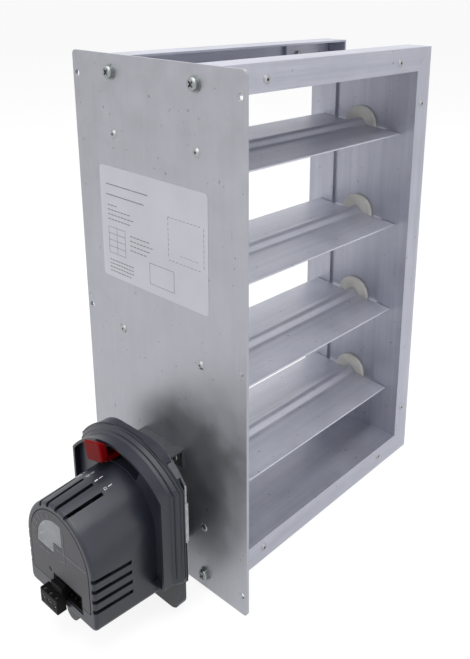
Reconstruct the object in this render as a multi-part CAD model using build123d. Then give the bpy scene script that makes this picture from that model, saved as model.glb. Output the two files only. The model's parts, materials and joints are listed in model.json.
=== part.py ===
from build123d import *
import math
import os

os.makedirs("parts", exist_ok=True)

# Zone damper for a rectangular duct: a mitred aluminium frame with four parallel blades,
# a mounting plate on the duct's side wall and a spring return actuator on the plate.
# Millimetres. X runs from the plate into the duct, Y along the airflow, Z up.
# The origin is the middle of the plate's duct side face.

# Frame rails
FRAME_WIDTH = 228.0
FRAME_HEIGHT = 349.0
FRAME_DEPTH = 101.6
RAIL_HEIGHT = 17.5
RAIL_WALL = 1.5
LIP_WIDTH = 21.0
BAND_WIDTH = 54.0
BAND_RECESS = 2.5

# Corner keys and their rivets
KEY_THICKNESS = 3.0
KEY_GAP = 0.5
KEY_LEG = 56.0
KEY_RIVET_INSET = 42.5
KEY_RIVET_EDGE = 10.0
RIVET_HEAD_RADIUS = 3.0
RIVET_HEAD_HEIGHT = 1.2
RIVET_RADIUS = 1.6
RIVET_BORE_RADIUS = 0.9
RIVET_BULB_RADIUS = 2.3
RIVET_BULB_LENGTH = 2.0
HOLE_GAP = 0.05

# Mounting plate
PLATE_WIDTH = 154.0
PLATE_HEIGHT = 351.0
PLATE_THICKNESS = 2.0
PLATE_CORNER = 3.0
EDGE_HOLE_Y = 72.7
EDGE_HOLE_Z = 161.0
EDGE_HOLE_RADIUS = 2.1
PLATE_RIVET_Y = 38.0
PLATE_RIVET_Z = (126.0, -7.5, -127.0)
PLATE_SCREW_Z = 164.5
SCREW_RADIUS = 2.1
SCREW_LENGTH = 12.0
SCREW_HEAD_RADIUS = 3.9
SCREW_HEAD_HEIGHT = 2.6
SCREW_WASHER_RADIUS = 4.8
SCREW_WASHER_HEIGHT = 0.8
CROSS_WIDTH_SHARE = 0.3
CROSS_LENGTH_SHARE = 1.15
CROSS_DEPTH_SHARE = 0.6

# Blades
BLADE_COUNT = 4
BLADE_REST_TILT = 5.0
BLADE_OPENING_GAP = 9.0
BLADE_OVERLAP = 4.0
BLADE_SHEET = 1.3
BLADE_TUBE_RADIUS = 5.2
BLADE_END_GAP = 1.0
BLADE_FILLET = 1.2
PIN_RADIUS = 3.0
PRESS_GAP = 0.02
RUNNING_GAP = 0.05
PIN_IN_BLADE = 20.0
FAR_PIN_REACH = 3.0

# Nylon bushings
BUSHING_RADIUS = 14.5
BUSHING_FLANGE = 3.0
BUSHING_SHANK_RADIUS = 6.0
BUSHING_SHANK_PAST_WEB = 1.5
BUSHING_EDGE = 0.6

# Linkage in the near rail
CRANK_THROW = 20.0
CRANK_START = -44.0
CRANK_X = 6.4
CRANK_THICKNESS = 4.0
CRANK_HUB_WALL = 4.0
CRANK_END_RADIUS = 5.0
CRANK_PIN_RADIUS = 2.5
CRANK_COLLAR_RADIUS = 4.0
CRANK_COLLAR_LENGTH = 0.6
CRANK_PIN_HEAD_RADIUS = 3.5
CRANK_PIN_HEAD = 0.8
TIE_ROD_X = 2.4
TIE_ROD_THICKNESS = 3.0
TIE_ROD_WIDTH = 10.0
TIE_ROD_END = 7.0
LINK_GAP = 0.4
NEAR_PIN_PAST_CRANK = 1.6

# Drive shaft
SHAFT_RADIUS = 4.75
SHAFT_SHOULDER_X = 11.0
SHAFT_END_X = -43.0
SHAFT_FLAT = 3.9
SHAFT_FLAT_LENGTH = 15.0
PLATE_SHAFT_HOLE = 5.6

# Actuator bracket
BRACKET_SHEET = 1.5
BRACKET_FACE_X = -24.5
BRACKET_HALF_WIDTH = 45.8
BRACKET_TOP = 47.0
BRACKET_BOTTOM = -44.0
BRACKET_CORNER = 10.0
BRACKET_LEG_V = 34.0
BRACKET_LEG_HALF_WIDTH = 20.0
BRACKET_FOOT = 14.0
BRACKET_HOLE = 12.0
BRACKET_DRIVER_HOLE = 4.0
BRACKET_SCREW_Y = 13.0
BRACKET_SCREW_PAST = 0.5
BRACKET_TAB_LOW = -8.0
BRACKET_TAB_HIGH = 20.0
BRACKET_TAB_REACH = 3.2
BRACKET_TAB_SHEET = 1.2
HOOK_ANGLE = 43.0
HOOK_RADIUS = 57.0
HOOK_WIDTH = 11.0

# Actuator base
BASE_FRONT_X = -31.0
RIM_BACK_X = -28.5
BASE_FLOOR = 2.0
RIM_ARCH = 70.0
RIM_CENTRE = -15.8
RIM_HALF_WIDTH = 50.4
RIM_BOTTOM = -36.0
RIM_CORNER = 5.0
BLOCK_TOP = 53.0
BLOCK_SHOULDER = 30.0
BLOCK_HALF_WIDTH = 44.5
BLOCK_BOTTOM = -60.0
BLOCK_CORNER = 8.0
CAVITY_CORNER = 4.0
CAVITY_ARCH = 40.0
CAVITY_HALF_WIDTH = 37.0
CAVITY_BOTTOM = -34.0
COLLAR_RADIUS = 10.0
COLLAR_FRONT_X = -32.8
COLLAR_SHOULDER = 12.5
COLLAR_LIP = 10.9
SIDE_GAP = 0.3
POST_RADIUS = 3.0
POST_PLACES = ((27.5, -2.0), (-27.5, -2.0), (24.0, -37.0), (-24.0, -37.0))
POST_SCREW_RADIUS = 1.1
POST_SCREW_DEPTH = 6.0
POST_SCREW_HEAD_RADIUS = 2.0
POST_SCREW_HEAD = 1.2
SPRING_POST_RADIUS = 2.0
HOUSING_SCREWS = ((34.3, 26.8), (-34.3, 26.8), (40.5, -28.0), (-40.5, -28.0))
HOUSING_SCREW_RADIUS = 1.5
HOUSING_SCREW_HEAD_RADIUS = 2.8
HOUSING_SCREW_HEAD = 1.8
HOUSING_SCREW_IN_COVER = 2.2

# Actuator cover: a tapered shell that stands in an arched hood over a sloping flange
COVER_FRONT_X = -86.0
HOOD_FRONT_X = -43.0
HOOD_FACE_X = -39.0
HOOD_BACK_X = -36.0
HOOD_LIP = 1.8
HOOD_ARCH = 60.0
HOOD_CENTRE = -10.0
HOOD_HALF_WIDTH = 45.5
HOOD_CORNER = 3.0
BODY_BACK = (33.9, 0.0, 33.9, -47.0)
BODY_FRONT = (35.0, -6.0, 35.0, -41.5)
BODY_CORNER = 4.5
COVER_WALL = 2.0
COVER_FRONT_WALL = 3.0
COVER_EDGE = 2.3
SLOT_INNER = 34.5
SLOT_OUTER = 46.5
SLOT_LEFT = 46.0
SLOT_RIGHT = 29.0
VENT_ANGLES = (-28.8, -14.0, 1.5, 17.0)
VENT_WIDTH = 2.7
VENT_BACK_X = -59.5
SIDE_VENTS = (-4.5, -11.7, -18.9, -26.1)
SIDE_VENT_DROP = 3.6
SIDE_VENT_BACK_X = -57.8
VENT_DEPTH = 6.0
ANCHOR_RADIUS = 6.0
ANCHOR_Y = -6.5
ANCHOR_DROP = 9.0
ANCHOR_DEPTH = 6.0

# Front panel, window and lamp
PANEL_RADIUS = 30.3
PANEL_CENTRE = -6.0
PANEL_BOTTOM = -29.6
PANEL_CORNER = 1.5
PANEL_THICKNESS = 2.0
PANEL_GROOVE = 0.6
PANEL_LEDGE = 2.2
PANEL_PROUD = 0.2
WINDOW_RADIUS = 22.8
WINDOW_CENTRE = -5.0
WINDOW_RIGHT = -4.2
WINDOW_BOTTOM = -6.0
WINDOW_CORNER = 1.0
WINDOW_NOTCH_Y = 5.0
WINDOW_NOTCH_V = 2.0
WINDOW_LENS = 1.0
WINDOW_LEDGE = 1.2
LAMP_Y = 10.2
LAMP_V = -20.6
LAMP_RADIUS = 1.5

# Terminal block and its plug
HEADER_LEFT = 7.0
HEADER_RIGHT = -22.0
HEADER_TOP = -22.2
HEADER_BOTTOM = -35.2
HEADER_FRONT_X = -85.6
HEADER_WALL = 1.5
HEADER_POCKET = 4.6
HEADER_POLES = 6
HEADER_GAP = 0.4
PLUG_LEFT = 13.0
PLUG_RIGHT = -5.0
PLUG_FRONT_X = -93.0
PLUG_TOP = -31.5
PLUG_BOTTOM = -42.0
PLUG_POLES = 3
PLUG_TONGUE = 4.0
PLUG_SHELF_X = -89.2
PLUG_SHELF_TOP = -24.8
PLUG_SHELF_LEFT = 6.0
PLUG_GAP = 0.35
PLUG_WIRE_RADIUS = 1.7
PLUG_SCREW_RADIUS = 1.4
PLUG_SCREW_DEPTH = 1.5
HEADER_PIN = 1.0

# Red range stop lever
LEVER_X = -30.6
LEVER_THICKNESS = 2.4
LEVER_RING = 14.0
LEVER_ARM = 8.0
LEVER_REST = 16.0
LEVER_STEM_INNER = 35.6
LEVER_STEM_OUTER = 39.4
LEVER_STEM_WIDTH = 8.0
KNOB_BACK_X = -43.6
KNOB_FRONT_X = -49.5
KNOB_WIDTH = 18.0
KNOB_TOP = 52.8
KNOB_BOTTOM = 38.2
KNOB_TAPER = 2.0
KNOB_EDGE = 2.0

# Gear train
PRESSURE_ANGLE = 20.0
TOOTH_ADDENDUM = 0.8
TOOTH_DEDENDUM = 1.15
BACKLASH = 0.16
SECTOR_TEETH = 45
SECTOR_MODULE = 1.0
SECTOR_LEAD = 1
SECTOR_TRAIL = 12
SECTOR_X = -44.5
SECTOR_THICKNESS = 4.0
SECTOR_BOSS = 11.5
PINION_TEETH = 12
WHEEL_TEETH = 30
WHEEL_MODULE = 0.8
WHEEL_THICKNESS = 3.5
MESH_OVERHANG = 0.5
IDLER_DIRECTION = 251.6
MOTOR_DIRECTION = 23.6
AXLE_RADIUS = 1.5
HUB_RADIUS = 8.0
HUB_BACK_X = -24.9
HUB_NOSE_RADIUS = 4.0
HUB_RUNNING_GAP = 0.08
INDICATOR_X = -82.6
INDICATOR_THICKNESS = 0.8
INDICATOR_RADIUS = 20.5

# Gear plate, motor, spring and circuit board
GEAR_PLATE_X = -52.5
GEAR_PLATE_SHEET = 1.5
GEAR_PLATE_HALF_WIDTH = 30.0
GEAR_PLATE_TOP = 7.0
GEAR_PLATE_BOTTOM = -40.3
GEAR_PLATE_CORNER = 3.0
MOTOR_RADIUS = 16.0
MOTOR_LENGTH = 25.0
MOTOR_BOSS = 5.0
MOTOR_SHAFT_DEPTH = 5.0
MOTOR_SHAFT_RADIUS = 1.0
MOTOR_EDGE = 1.0
SPRING_X = -38.8
SPRING_WIDTH = 4.4
SPRING_STRIP = 0.6
SPRING_INNER = 8.7
SPRING_OUTER = 19.5
SPRING_TURNS = 4
SPRING_STEPS = 18
SPRING_END = -90.0
BOARD_X = -80.0
BOARD_THICKNESS = 1.4
BOARD_HALF_WIDTH = 24.0
BOARD_TOP = -22.2
BOARD_BOTTOM = -37.5

# Latch pad beside the base
PAD_THICKNESS = 3.4
PAD_TOP = -9.0
PAD_BOTTOM = -37.5
PAD_EDGE = 1.0
PAD_GAP = 0.1

# Worked out sizes
BLADE_ROOM = FRAME_HEIGHT - 2 * (RAIL_HEIGHT + BLADE_OPENING_GAP)
BLADE_PITCH = BLADE_ROOM / BLADE_COUNT
BLADE_CHORD = BLADE_PITCH + BLADE_OVERLAP
BLADE_Z = [BLADE_PITCH * ((BLADE_COUNT - 1) / 2 - i) for i in range(BLADE_COUNT)]
AXIS_Z = BLADE_Z[-1]
HALF_DEPTH = FRAME_DEPTH / 2
HALF_HEIGHT = FRAME_HEIGHT / 2
BAND_INNER = RAIL_HEIGHT - BAND_RECESS
BAND_OUTER = BAND_INNER - RAIL_WALL
BLADE_NEAR_X = RAIL_HEIGHT + BLADE_END_GAP
BLADE_FAR_X = FRAME_WIDTH - RAIL_HEIGHT - BLADE_END_GAP
SECTOR_PITCH_RADIUS = SECTOR_MODULE * SECTOR_TEETH / 2
PINION_PITCH_RADIUS = SECTOR_MODULE * PINION_TEETH / 2
IDLER_DISTANCE = SECTOR_PITCH_RADIUS + PINION_PITCH_RADIUS
MOTOR_DISTANCE = WHEEL_MODULE * (WHEEL_TEETH + PINION_TEETH) / 2
IDLER_Y = IDLER_DISTANCE * math.cos(math.radians(IDLER_DIRECTION))
IDLER_V = IDLER_DISTANCE * math.sin(math.radians(IDLER_DIRECTION))
MOTOR_Y = IDLER_Y + MOTOR_DISTANCE * math.cos(math.radians(MOTOR_DIRECTION))
MOTOR_V = IDLER_V + MOTOR_DISTANCE * math.sin(math.radians(MOTOR_DIRECTION))
WHEEL_X = SECTOR_X - 2 * MESH_OVERHANG - WHEEL_THICKNESS
FLOOR_FRONT_X = BRACKET_FACE_X - BASE_FLOOR
GEAR_PLATE_BACK_X = GEAR_PLATE_X + GEAR_PLATE_SHEET
HEADER_BACK_X = BOARD_X
SPRING_POST_X = SPRING_X
PLUG_BACK_X = COVER_FRONT_X - PANEL_PROUD - PLUG_GAP
CRANK_Z = CRANK_THROW * math.sin(math.radians(CRANK_START))
CRANK_Y = CRANK_THROW * math.cos(math.radians(CRANK_START))
PANEL_BACK_X = COVER_FRONT_X + PANEL_THICKNESS
PLATE_FACE_X = -PLATE_THICKNESS


def section(x, z=0.0):
    """A drawing plane across X: its own x runs along Y and its own y along Z."""
    return Plane(origin=(x, 0, z), x_dir=(0, 1, 0), z_dir=(1, 0, 0))


def prism(face, x0, x1, z=0.0):
    """A flat outline in Y and Z, carried from x0 to x1."""
    return extrude(section(x0, z) * face, amount=x1 - x0, dir=(1, 0, 0))


def rod(radius, x0, x1, y=0.0, z=0.0):
    """A round bar along X."""
    return prism(Pos(y, 0) * Circle(radius), x0, x1, z)


def save(name, shape):
    """Write one named piece."""
    shape.label = name
    export_step(shape, f"parts/{name}.step")


def group(solids):
    """Separate solids that share one name."""
    return Compound([s for shape in solids for s in shape.solids()])


def rectangle(y0, y1, z0, z1):
    """A rectangle between two corners."""
    return Pos((y0 + y1) / 2, (z0 + z1) / 2) * Rectangle(abs(y1 - y0), abs(z1 - z0))


def arch(radius, centre, half_width, bottom, corner):
    """A closed outline with a round top, upright sides and a flat foot with round corners."""
    shoulder = centre + math.sqrt(max(radius**2 - half_width**2, 0.0))
    top = ThreePointArc((half_width, shoulder), (0, centre + radius), (-half_width, shoulder))
    diagonal = corner * (1 - math.sqrt(0.5))
    left = Line((-half_width, shoulder), (-half_width, bottom + corner))
    left_turn = ThreePointArc(
        (-half_width, bottom + corner),
        (-half_width + diagonal, bottom + diagonal),
        (-half_width + corner, bottom),
    )
    foot = Line((-half_width + corner, bottom), (half_width - corner, bottom))
    right_turn = ThreePointArc(
        (half_width - corner, bottom),
        (half_width - diagonal, bottom + diagonal),
        (half_width, bottom + corner),
    )
    right = Line((half_width, bottom + corner), (half_width, shoulder))
    return make_face([top, left, left_turn, foot, right_turn, right])


# Frame


def rail(length):
    """One extruded rail along X with its outer side at the top and both ends mitred."""
    half_band = BAND_WIDTH / 2
    lip = rectangle(HALF_DEPTH - LIP_WIDTH, HALF_DEPTH, -RAIL_WALL, 0)
    flange = rectangle(HALF_DEPTH - RAIL_WALL, HALF_DEPTH, -RAIL_HEIGHT, 0)
    web = rectangle(half_band - RAIL_WALL, HALF_DEPTH, -RAIL_HEIGHT, -RAIL_HEIGHT + RAIL_WALL)
    step = rectangle(half_band - RAIL_WALL, half_band, -RAIL_HEIGHT, -BAND_OUTER)
    half = lip + flange + web + step
    band = rectangle(-half_band, half_band, -BAND_INNER, -BAND_OUTER)
    profile = half + mirror(half, about=Plane.YZ) + band
    bar = prism(profile, -length / 2, length / 2)
    inner = length / 2 - RAIL_HEIGHT
    trapezoid = Polygon(
        (-length / 2, 0),
        (length / 2, 0),
        (inner, -RAIL_HEIGHT),
        (-inner, -RAIL_HEIGHT),
        align=None,
    )
    return bar & extrude(Plane.XZ * trapezoid, amount=FRAME_DEPTH, both=True)


def key_rivet_places():
    """The rivet places on the frame's front face, as X and Z."""
    places = []
    for side in (1, -1):
        for x in (KEY_RIVET_INSET, FRAME_WIDTH - KEY_RIVET_INSET):
            places.append((x, side * (HALF_HEIGHT - KEY_RIVET_EDGE)))
        for x in (KEY_RIVET_EDGE, FRAME_WIDTH - KEY_RIVET_EDGE):
            places.append((x, side * (HALF_HEIGHT - KEY_RIVET_INSET)))
    return places


def flange_drills():
    """Bars through both flanges at every corner key rivet."""
    drill = Cylinder(RIVET_RADIUS + HOLE_GAP, 2 * FRAME_DEPTH, rotation=(90, 0, 0))
    return [Pos(x, 0, z) * drill for x, z in key_rivet_places()]


def plate_rivet_places():
    """The rivet places on the plate, as Y and Z."""
    return [(side * PLATE_RIVET_Y, z) for side in (1, -1) for z in PLATE_RIVET_Z]


def plate_screw_places():
    """The large screws' places on the plate, as Y and Z."""
    return [(a * PLATE_RIVET_Y, b * PLATE_SCREW_Z) for a in (1, -1) for b in (1, -1)]


def frame_rails():
    """The four rails, with their bushing, rivet and screw holes."""
    middle = FRAME_WIDTH / 2
    drills = flange_drills()
    top = Pos(middle, 0, HALF_HEIGHT) * rail(FRAME_WIDTH) - drills
    bottom = Pos(middle, 0, -HALF_HEIGHT) * Rot(180, 0, 0) * rail(FRAME_WIDTH) - drills
    near = Rot(0, -90, 0) * rail(FRAME_HEIGHT) - drills
    far = Pos(FRAME_WIDTH, 0, 0) * Rot(0, 90, 0) * rail(FRAME_HEIGHT) - drills
    seat = BUSHING_SHANK_RADIUS + HOLE_GAP
    near -= [rod(seat, RAIL_WALL, RAIL_HEIGHT, 0, z) for z in BLADE_Z]
    far -= [rod(seat, FRAME_WIDTH - RAIL_HEIGHT, FRAME_WIDTH - RAIL_WALL, 0, z) for z in BLADE_Z]
    near -= [rod(RIVET_RADIUS + HOLE_GAP, -1, RAIL_WALL + 1, y, z) for y, z in plate_rivet_places()]
    near -= [rod(SCREW_RADIUS + HOLE_GAP, -1, RAIL_WALL + 1, y, z) for y, z in plate_screw_places()]
    save("frame_rail_top", top)
    save("frame_rail_bottom", bottom)
    save("frame_rail_near", near)
    save("frame_rail_far", far)


def corner_key():
    """An L shaped key for the lower near corner, in X and Z, with its two rivet holes."""
    low = RAIL_WALL + KEY_GAP
    high = BAND_OUTER + BAND_RECESS - KEY_GAP
    outline = rectangle(low, KEY_LEG, low, high) + rectangle(low, high, low, KEY_LEG)
    key = extrude(Plane.XZ * outline, amount=KEY_THICKNESS)
    drill = Cylinder(RIVET_RADIUS + HOLE_GAP, 4 * KEY_THICKNESS, rotation=(90, 0, 0))
    key -= Pos(KEY_RIVET_INSET, 0, KEY_RIVET_EDGE) * drill
    key -= Pos(KEY_RIVET_EDGE, 0, KEY_RIVET_INSET) * drill
    return Pos(0, -HALF_DEPTH + RAIL_WALL + KEY_THICKNESS, -HALF_HEIGHT) * key


def corner_keys():
    """Four keys behind the front flanges and four behind the rear ones."""
    near_low = corner_key()
    across = Plane.YZ.offset(FRAME_WIDTH / 2)
    far_low = mirror(near_low, about=across)
    front = [near_low, far_low] + [mirror(k, about=Plane.XY) for k in (near_low, far_low)]
    save("corner_keys_front", group(front))
    save("corner_keys_rear", group([mirror(k, about=Plane.XZ) for k in front]))


def blind_rivet(grip):
    """A set blind rivet along +Z, its domed head under Z 0 and its bulb past the grip."""
    dome_radius = (RIVET_HEAD_RADIUS**2 + RIVET_HEAD_HEIGHT**2) / (2 * RIVET_HEAD_HEIGHT)
    dome = Pos(0, 0, dome_radius - RIVET_HEAD_HEIGHT) * Sphere(dome_radius)
    head = dome & Pos(0, 0, -RIVET_HEAD_HEIGHT) * Cylinder(
        RIVET_HEAD_RADIUS,
        RIVET_HEAD_HEIGHT,
        align=(Align.CENTER, Align.CENTER, Align.MIN),
    )
    bottom = (Align.CENTER, Align.CENTER, Align.MIN)
    shank = Cylinder(RIVET_RADIUS, grip + RIVET_BULB_LENGTH, align=bottom)
    bulb = Pos(0, 0, grip) * Cylinder(RIVET_BULB_RADIUS, RIVET_BULB_LENGTH, align=bottom)
    bore = Pos(0, 0, -RIVET_HEAD_HEIGHT) * Cylinder(RIVET_BORE_RADIUS, grip, align=bottom)
    return head + shank + bulb - bore


def rivets():
    """The corner key rivets, front and rear, and the plate rivets."""
    front = Rot(-90, 0, 0) * blind_rivet(RAIL_WALL + KEY_THICKNESS)
    placed = [Pos(x, -HALF_DEPTH, z) * front for x, z in key_rivet_places()]
    save("corner_rivets_front", group(placed))
    save("corner_rivets_rear", group([mirror(r, about=Plane.XZ) for r in placed]))
    through = Rot(0, 90, 0) * blind_rivet(PLATE_THICKNESS + RAIL_WALL)
    on_plate = [Pos(PLATE_FACE_X, y, z) * through for y, z in plate_rivet_places()]
    save("plate_rivets", group(on_plate))


def pan_screw(radius, length, head_radius, head_height, flange_radius=0.0, flange_height=0.0):
    """A cross recessed pan head screw along +X, its seat at X 0, with or without a flange."""
    crown = -flange_height - head_height
    head = rod(head_radius, crown, -flange_height)
    head = fillet(head.faces().sort_by(Axis.X)[0].edges(), head_height / 2)
    screw = rod(radius, 0, length) + head
    if flange_height > 0:
        screw += rod(flange_radius, -flange_height, 0)
    length = head_radius * CROSS_LENGTH_SHARE
    width = head_radius * CROSS_WIDTH_SHARE
    cross = Rectangle(length, width) + Rectangle(width, length)
    return screw - prism(cross, crown, crown + head_height * CROSS_DEPTH_SHARE)


def plate_screws():
    """The four large screws that hold the plate to the near rail."""
    screw = pan_screw(
        SCREW_RADIUS,
        SCREW_LENGTH,
        SCREW_HEAD_RADIUS,
        SCREW_HEAD_HEIGHT,
        SCREW_WASHER_RADIUS,
        SCREW_WASHER_HEIGHT,
    )
    placed = [Pos(PLATE_FACE_X, y, z) * Rot(45, 0, 0) * screw for y, z in plate_screw_places()]
    save("plate_screws", group(placed))


def bracket_screw_places():
    """The bracket's screw places, as Y and height over the drive axis."""
    reach = BRACKET_LEG_V + BRACKET_SHEET / 2 - BRACKET_FOOT / 2
    return [(a * BRACKET_SCREW_Y, b * reach) for a in (1, -1) for b in (1, -1)]


def edge_hole_places():
    """The holes for the screws into the duct's wall, as Y and Z."""
    return [(a * EDGE_HOLE_Y, z) for a in (1, -1) for z in (EDGE_HOLE_Z, 0, -EDGE_HOLE_Z)]


def mounting_plate():
    """The flat plate that covers the duct's side opening."""
    outline = RectangleRounded(PLATE_WIDTH, PLATE_HEIGHT, PLATE_CORNER)
    plate = prism(outline, PLATE_FACE_X, 0)
    holes = [rod(EDGE_HOLE_RADIUS, PLATE_FACE_X, 0, y, z) for y, z in edge_hole_places()]
    holes += [
        rod(RIVET_RADIUS + HOLE_GAP, PLATE_FACE_X, 0, y, z) for y, z in plate_rivet_places()
    ]
    holes += [
        rod(SCREW_RADIUS + HOLE_GAP, PLATE_FACE_X, 0, y, z) for y, z in plate_screw_places()
    ]
    holes += [
        rod(HOUSING_SCREW_RADIUS + HOLE_GAP, PLATE_FACE_X, 0, y, AXIS_Z + v)
        for y, v in bracket_screw_places()
    ]
    holes.append(rod(PLATE_SHAFT_HOLE, PLATE_FACE_X, 0, 0, AXIS_Z))
    save("mounting_plate", plate - holes)


# Blades


def blade_section():
    """A thin sheet with round edges and a tube along its middle."""
    sheet = SlotOverall(BLADE_CHORD, BLADE_SHEET)
    ramp = BLADE_TUBE_RADIUS + BLADE_FILLET
    foot = Polygon(
        (-ramp, BLADE_SHEET / 2),
        (-BLADE_TUBE_RADIUS * 0.8, BLADE_TUBE_RADIUS * 0.6),
        (BLADE_TUBE_RADIUS * 0.8, BLADE_TUBE_RADIUS * 0.6),
        (ramp, BLADE_SHEET / 2),
        (ramp, -BLADE_SHEET / 2),
        (BLADE_TUBE_RADIUS * 0.8, -BLADE_TUBE_RADIUS * 0.6),
        (-BLADE_TUBE_RADIUS * 0.8, -BLADE_TUBE_RADIUS * 0.6),
        (-ramp, -BLADE_SHEET / 2),
        align=None,
    )
    return sheet + foot + Circle(BLADE_TUBE_RADIUS) - Circle(PIN_RADIUS + PRESS_GAP)


def bushing():
    """A flanged nylon bushing along +X, its flange's back face at X 0 and its shank behind it."""
    shank = RAIL_WALL + BUSHING_SHANK_PAST_WEB
    body = rod(BUSHING_RADIUS, 0, BUSHING_FLANGE)
    body = chamfer(body.edges().filter_by(GeomType.CIRCLE), BUSHING_EDGE)
    body += rod(BUSHING_SHANK_RADIUS, -shank, 0)
    return body - rod(PIN_RADIUS + RUNNING_GAP, -shank, BUSHING_FLANGE)


def blades_and_bearings():
    """Every blade with its far pin, near pin or drive shaft, and its two bushings."""
    blade = Rot(BLADE_REST_TILT, 0, 0) * prism(blade_section(), BLADE_NEAR_X, BLADE_FAR_X)
    near = Pos(BAND_INNER, 0, 0) * bushing()
    far = Pos(FRAME_WIDTH - BAND_INNER, 0, 0) * Rot(0, 0, 180) * bushing()
    web_outside = FRAME_WIDTH - BAND_OUTER
    pin_start = BLADE_NEAR_X + PIN_IN_BLADE
    for number, z in enumerate(BLADE_Z, 1):
        lift = Pos(0, 0, z)
        save(f"blade_{number}", lift * blade)
        save(f"near_bushing_{number}", lift * near)
        save(f"far_bushing_{number}", lift * far)
        far_pin = rod(PIN_RADIUS, BLADE_FAR_X - PIN_IN_BLADE, web_outside + FAR_PIN_REACH)
        save(f"far_pin_{number}", lift * far_pin)
        if z != AXIS_Z:
            near_pin = rod(PIN_RADIUS, CRANK_X - NEAR_PIN_PAST_CRANK, pin_start)
            save(f"near_pin_{number}", lift * near_pin)
    shaft = rod(SHAFT_RADIUS, SHAFT_END_X, SHAFT_SHOULDER_X)
    shaft += rod(PIN_RADIUS, SHAFT_SHOULDER_X, pin_start)
    shaft -= d_flat(SHAFT_END_X, SHAFT_END_X + SHAFT_FLAT_LENGTH, SHAFT_RADIUS, SHAFT_FLAT)
    save("drive_shaft", Pos(0, 0, AXIS_Z) * shaft)


def d_flat(x0, x1, radius, flat):
    """The slice that a flat takes off a round bar along X."""
    return prism(rectangle(-radius, radius, flat, radius), x0, x1)


# Linkage


def crank(shaft_radius):
    """A crank arm at its open position, with its own pin for the tie rod."""
    hub = Circle(shaft_radius + CRANK_HUB_WALL)
    end = Pos(CRANK_THROW, 0) * Circle(CRANK_END_RADIUS)
    arm = make_hull((hub + end).edges())
    x1 = CRANK_X + CRANK_THICKNESS
    plate = prism(arm, CRANK_X, x1) - rod(shaft_radius + PRESS_GAP, CRANK_X, x1)
    head_x = TIE_ROD_X - LINK_GAP
    pin = rod(CRANK_PIN_RADIUS, head_x, CRANK_X, CRANK_THROW)
    pin += rod(CRANK_COLLAR_RADIUS, CRANK_X - CRANK_COLLAR_LENGTH, CRANK_X, CRANK_THROW)
    pin += rod(CRANK_PIN_HEAD_RADIUS, head_x - CRANK_PIN_HEAD, head_x, CRANK_THROW)
    return Rot(CRANK_START, 0, 0) * (plate + pin)


def linkage():
    """Four cranks and the tie rod that joins their pins."""
    for number, z in enumerate(BLADE_Z, 1):
        radius = SHAFT_RADIUS if z == AXIS_Z else PIN_RADIUS
        save(f"crank_{number}", Pos(0, 0, z) * crank(radius))
    low = AXIS_Z + CRANK_Z - TIE_ROD_END
    high = BLADE_Z[0] + CRANK_Z + TIE_ROD_END
    outline = rectangle(CRANK_Y - TIE_ROD_WIDTH / 2, CRANK_Y + TIE_ROD_WIDTH / 2, low, high)
    outline = fillet(outline.vertices(), TIE_ROD_WIDTH * 0.4)
    x1 = TIE_ROD_X + TIE_ROD_THICKNESS
    bar = prism(outline, TIE_ROD_X, x1)
    hole = CRANK_PIN_RADIUS + RUNNING_GAP
    bar -= [rod(hole, TIE_ROD_X, x1, CRANK_Y, z + CRANK_Z) for z in BLADE_Z]
    save("tie_rod", bar)


# Actuator bracket and base


def bracket():
    """The folded steel bracket that carries the actuator clear of the plate."""
    back_x = BRACKET_FACE_X + BRACKET_SHEET
    face = RectangleRounded(2 * BRACKET_HALF_WIDTH, BRACKET_TOP - BRACKET_BOTTOM, BRACKET_CORNER)
    face = Pos(0, (BRACKET_TOP + BRACKET_BOTTOM) / 2) * face
    face &= arch(HOOK_RADIUS - BRACKET_TAB_SHEET, 0, BRACKET_HALF_WIDTH, BRACKET_BOTTOM, BRACKET_CORNER)
    shape = prism(face, BRACKET_FACE_X, back_x)
    half = BRACKET_LEG_HALF_WIDTH
    for side in (1, -1):
        low, high = sorted((side * BRACKET_LEG_V, side * (BRACKET_LEG_V + BRACKET_SHEET)))
        shape += prism(rectangle(-half, half, low, high), back_x, PLATE_FACE_X)
        toe = side * (BRACKET_LEG_V + BRACKET_SHEET - BRACKET_FOOT)
        low, high = sorted((side * BRACKET_LEG_V, toe))
        shape += prism(rectangle(-half, half, low, high), PLATE_FACE_X - BRACKET_SHEET, PLATE_FACE_X)
        edge = sorted((side * BRACKET_HALF_WIDTH, side * (BRACKET_HALF_WIDTH + BRACKET_TAB_SHEET)))
        tab = rectangle(edge[0], edge[1], BRACKET_TAB_LOW, BRACKET_TAB_HIGH)
        shape += prism(tab, BRACKET_FACE_X - BRACKET_TAB_REACH, back_x)
        hook = prism(hook_outline(), BRACKET_FACE_X - BRACKET_TAB_REACH, back_x)
        shape += Rot(side * HOOK_ANGLE, 0, 0) * hook
    screw = HOUSING_SCREW_RADIUS + HOLE_GAP
    foot_x = PLATE_FACE_X - BRACKET_SHEET
    shape -= [rod(screw, foot_x, PLATE_FACE_X, y, v) for y, v in bracket_screw_places()]
    driver = BRACKET_DRIVER_HOLE
    shape -= [rod(driver, BRACKET_FACE_X, back_x, y, v) for y, v in bracket_screw_places()]
    shape -= rod(BRACKET_HOLE, BRACKET_FACE_X, back_x)
    head = HOUSING_SCREW_HEAD_RADIUS + HOLE_GAP
    shape -= [rod(head, BRACKET_FACE_X, back_x, y, v) for y, v in HOUSING_SCREWS]
    save("actuator_bracket", Pos(0, 0, AXIS_Z) * shape)
    screw = pan_screw(
        HOUSING_SCREW_RADIUS,
        PLATE_THICKNESS + BRACKET_SHEET + BRACKET_SCREW_PAST,
        HOUSING_SCREW_HEAD_RADIUS,
        HOUSING_SCREW_HEAD,
    )
    placed = [Pos(foot_x, y, AXIS_Z + v) * screw for y, v in bracket_screw_places()]
    save("bracket_screws", group(placed))


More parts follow.
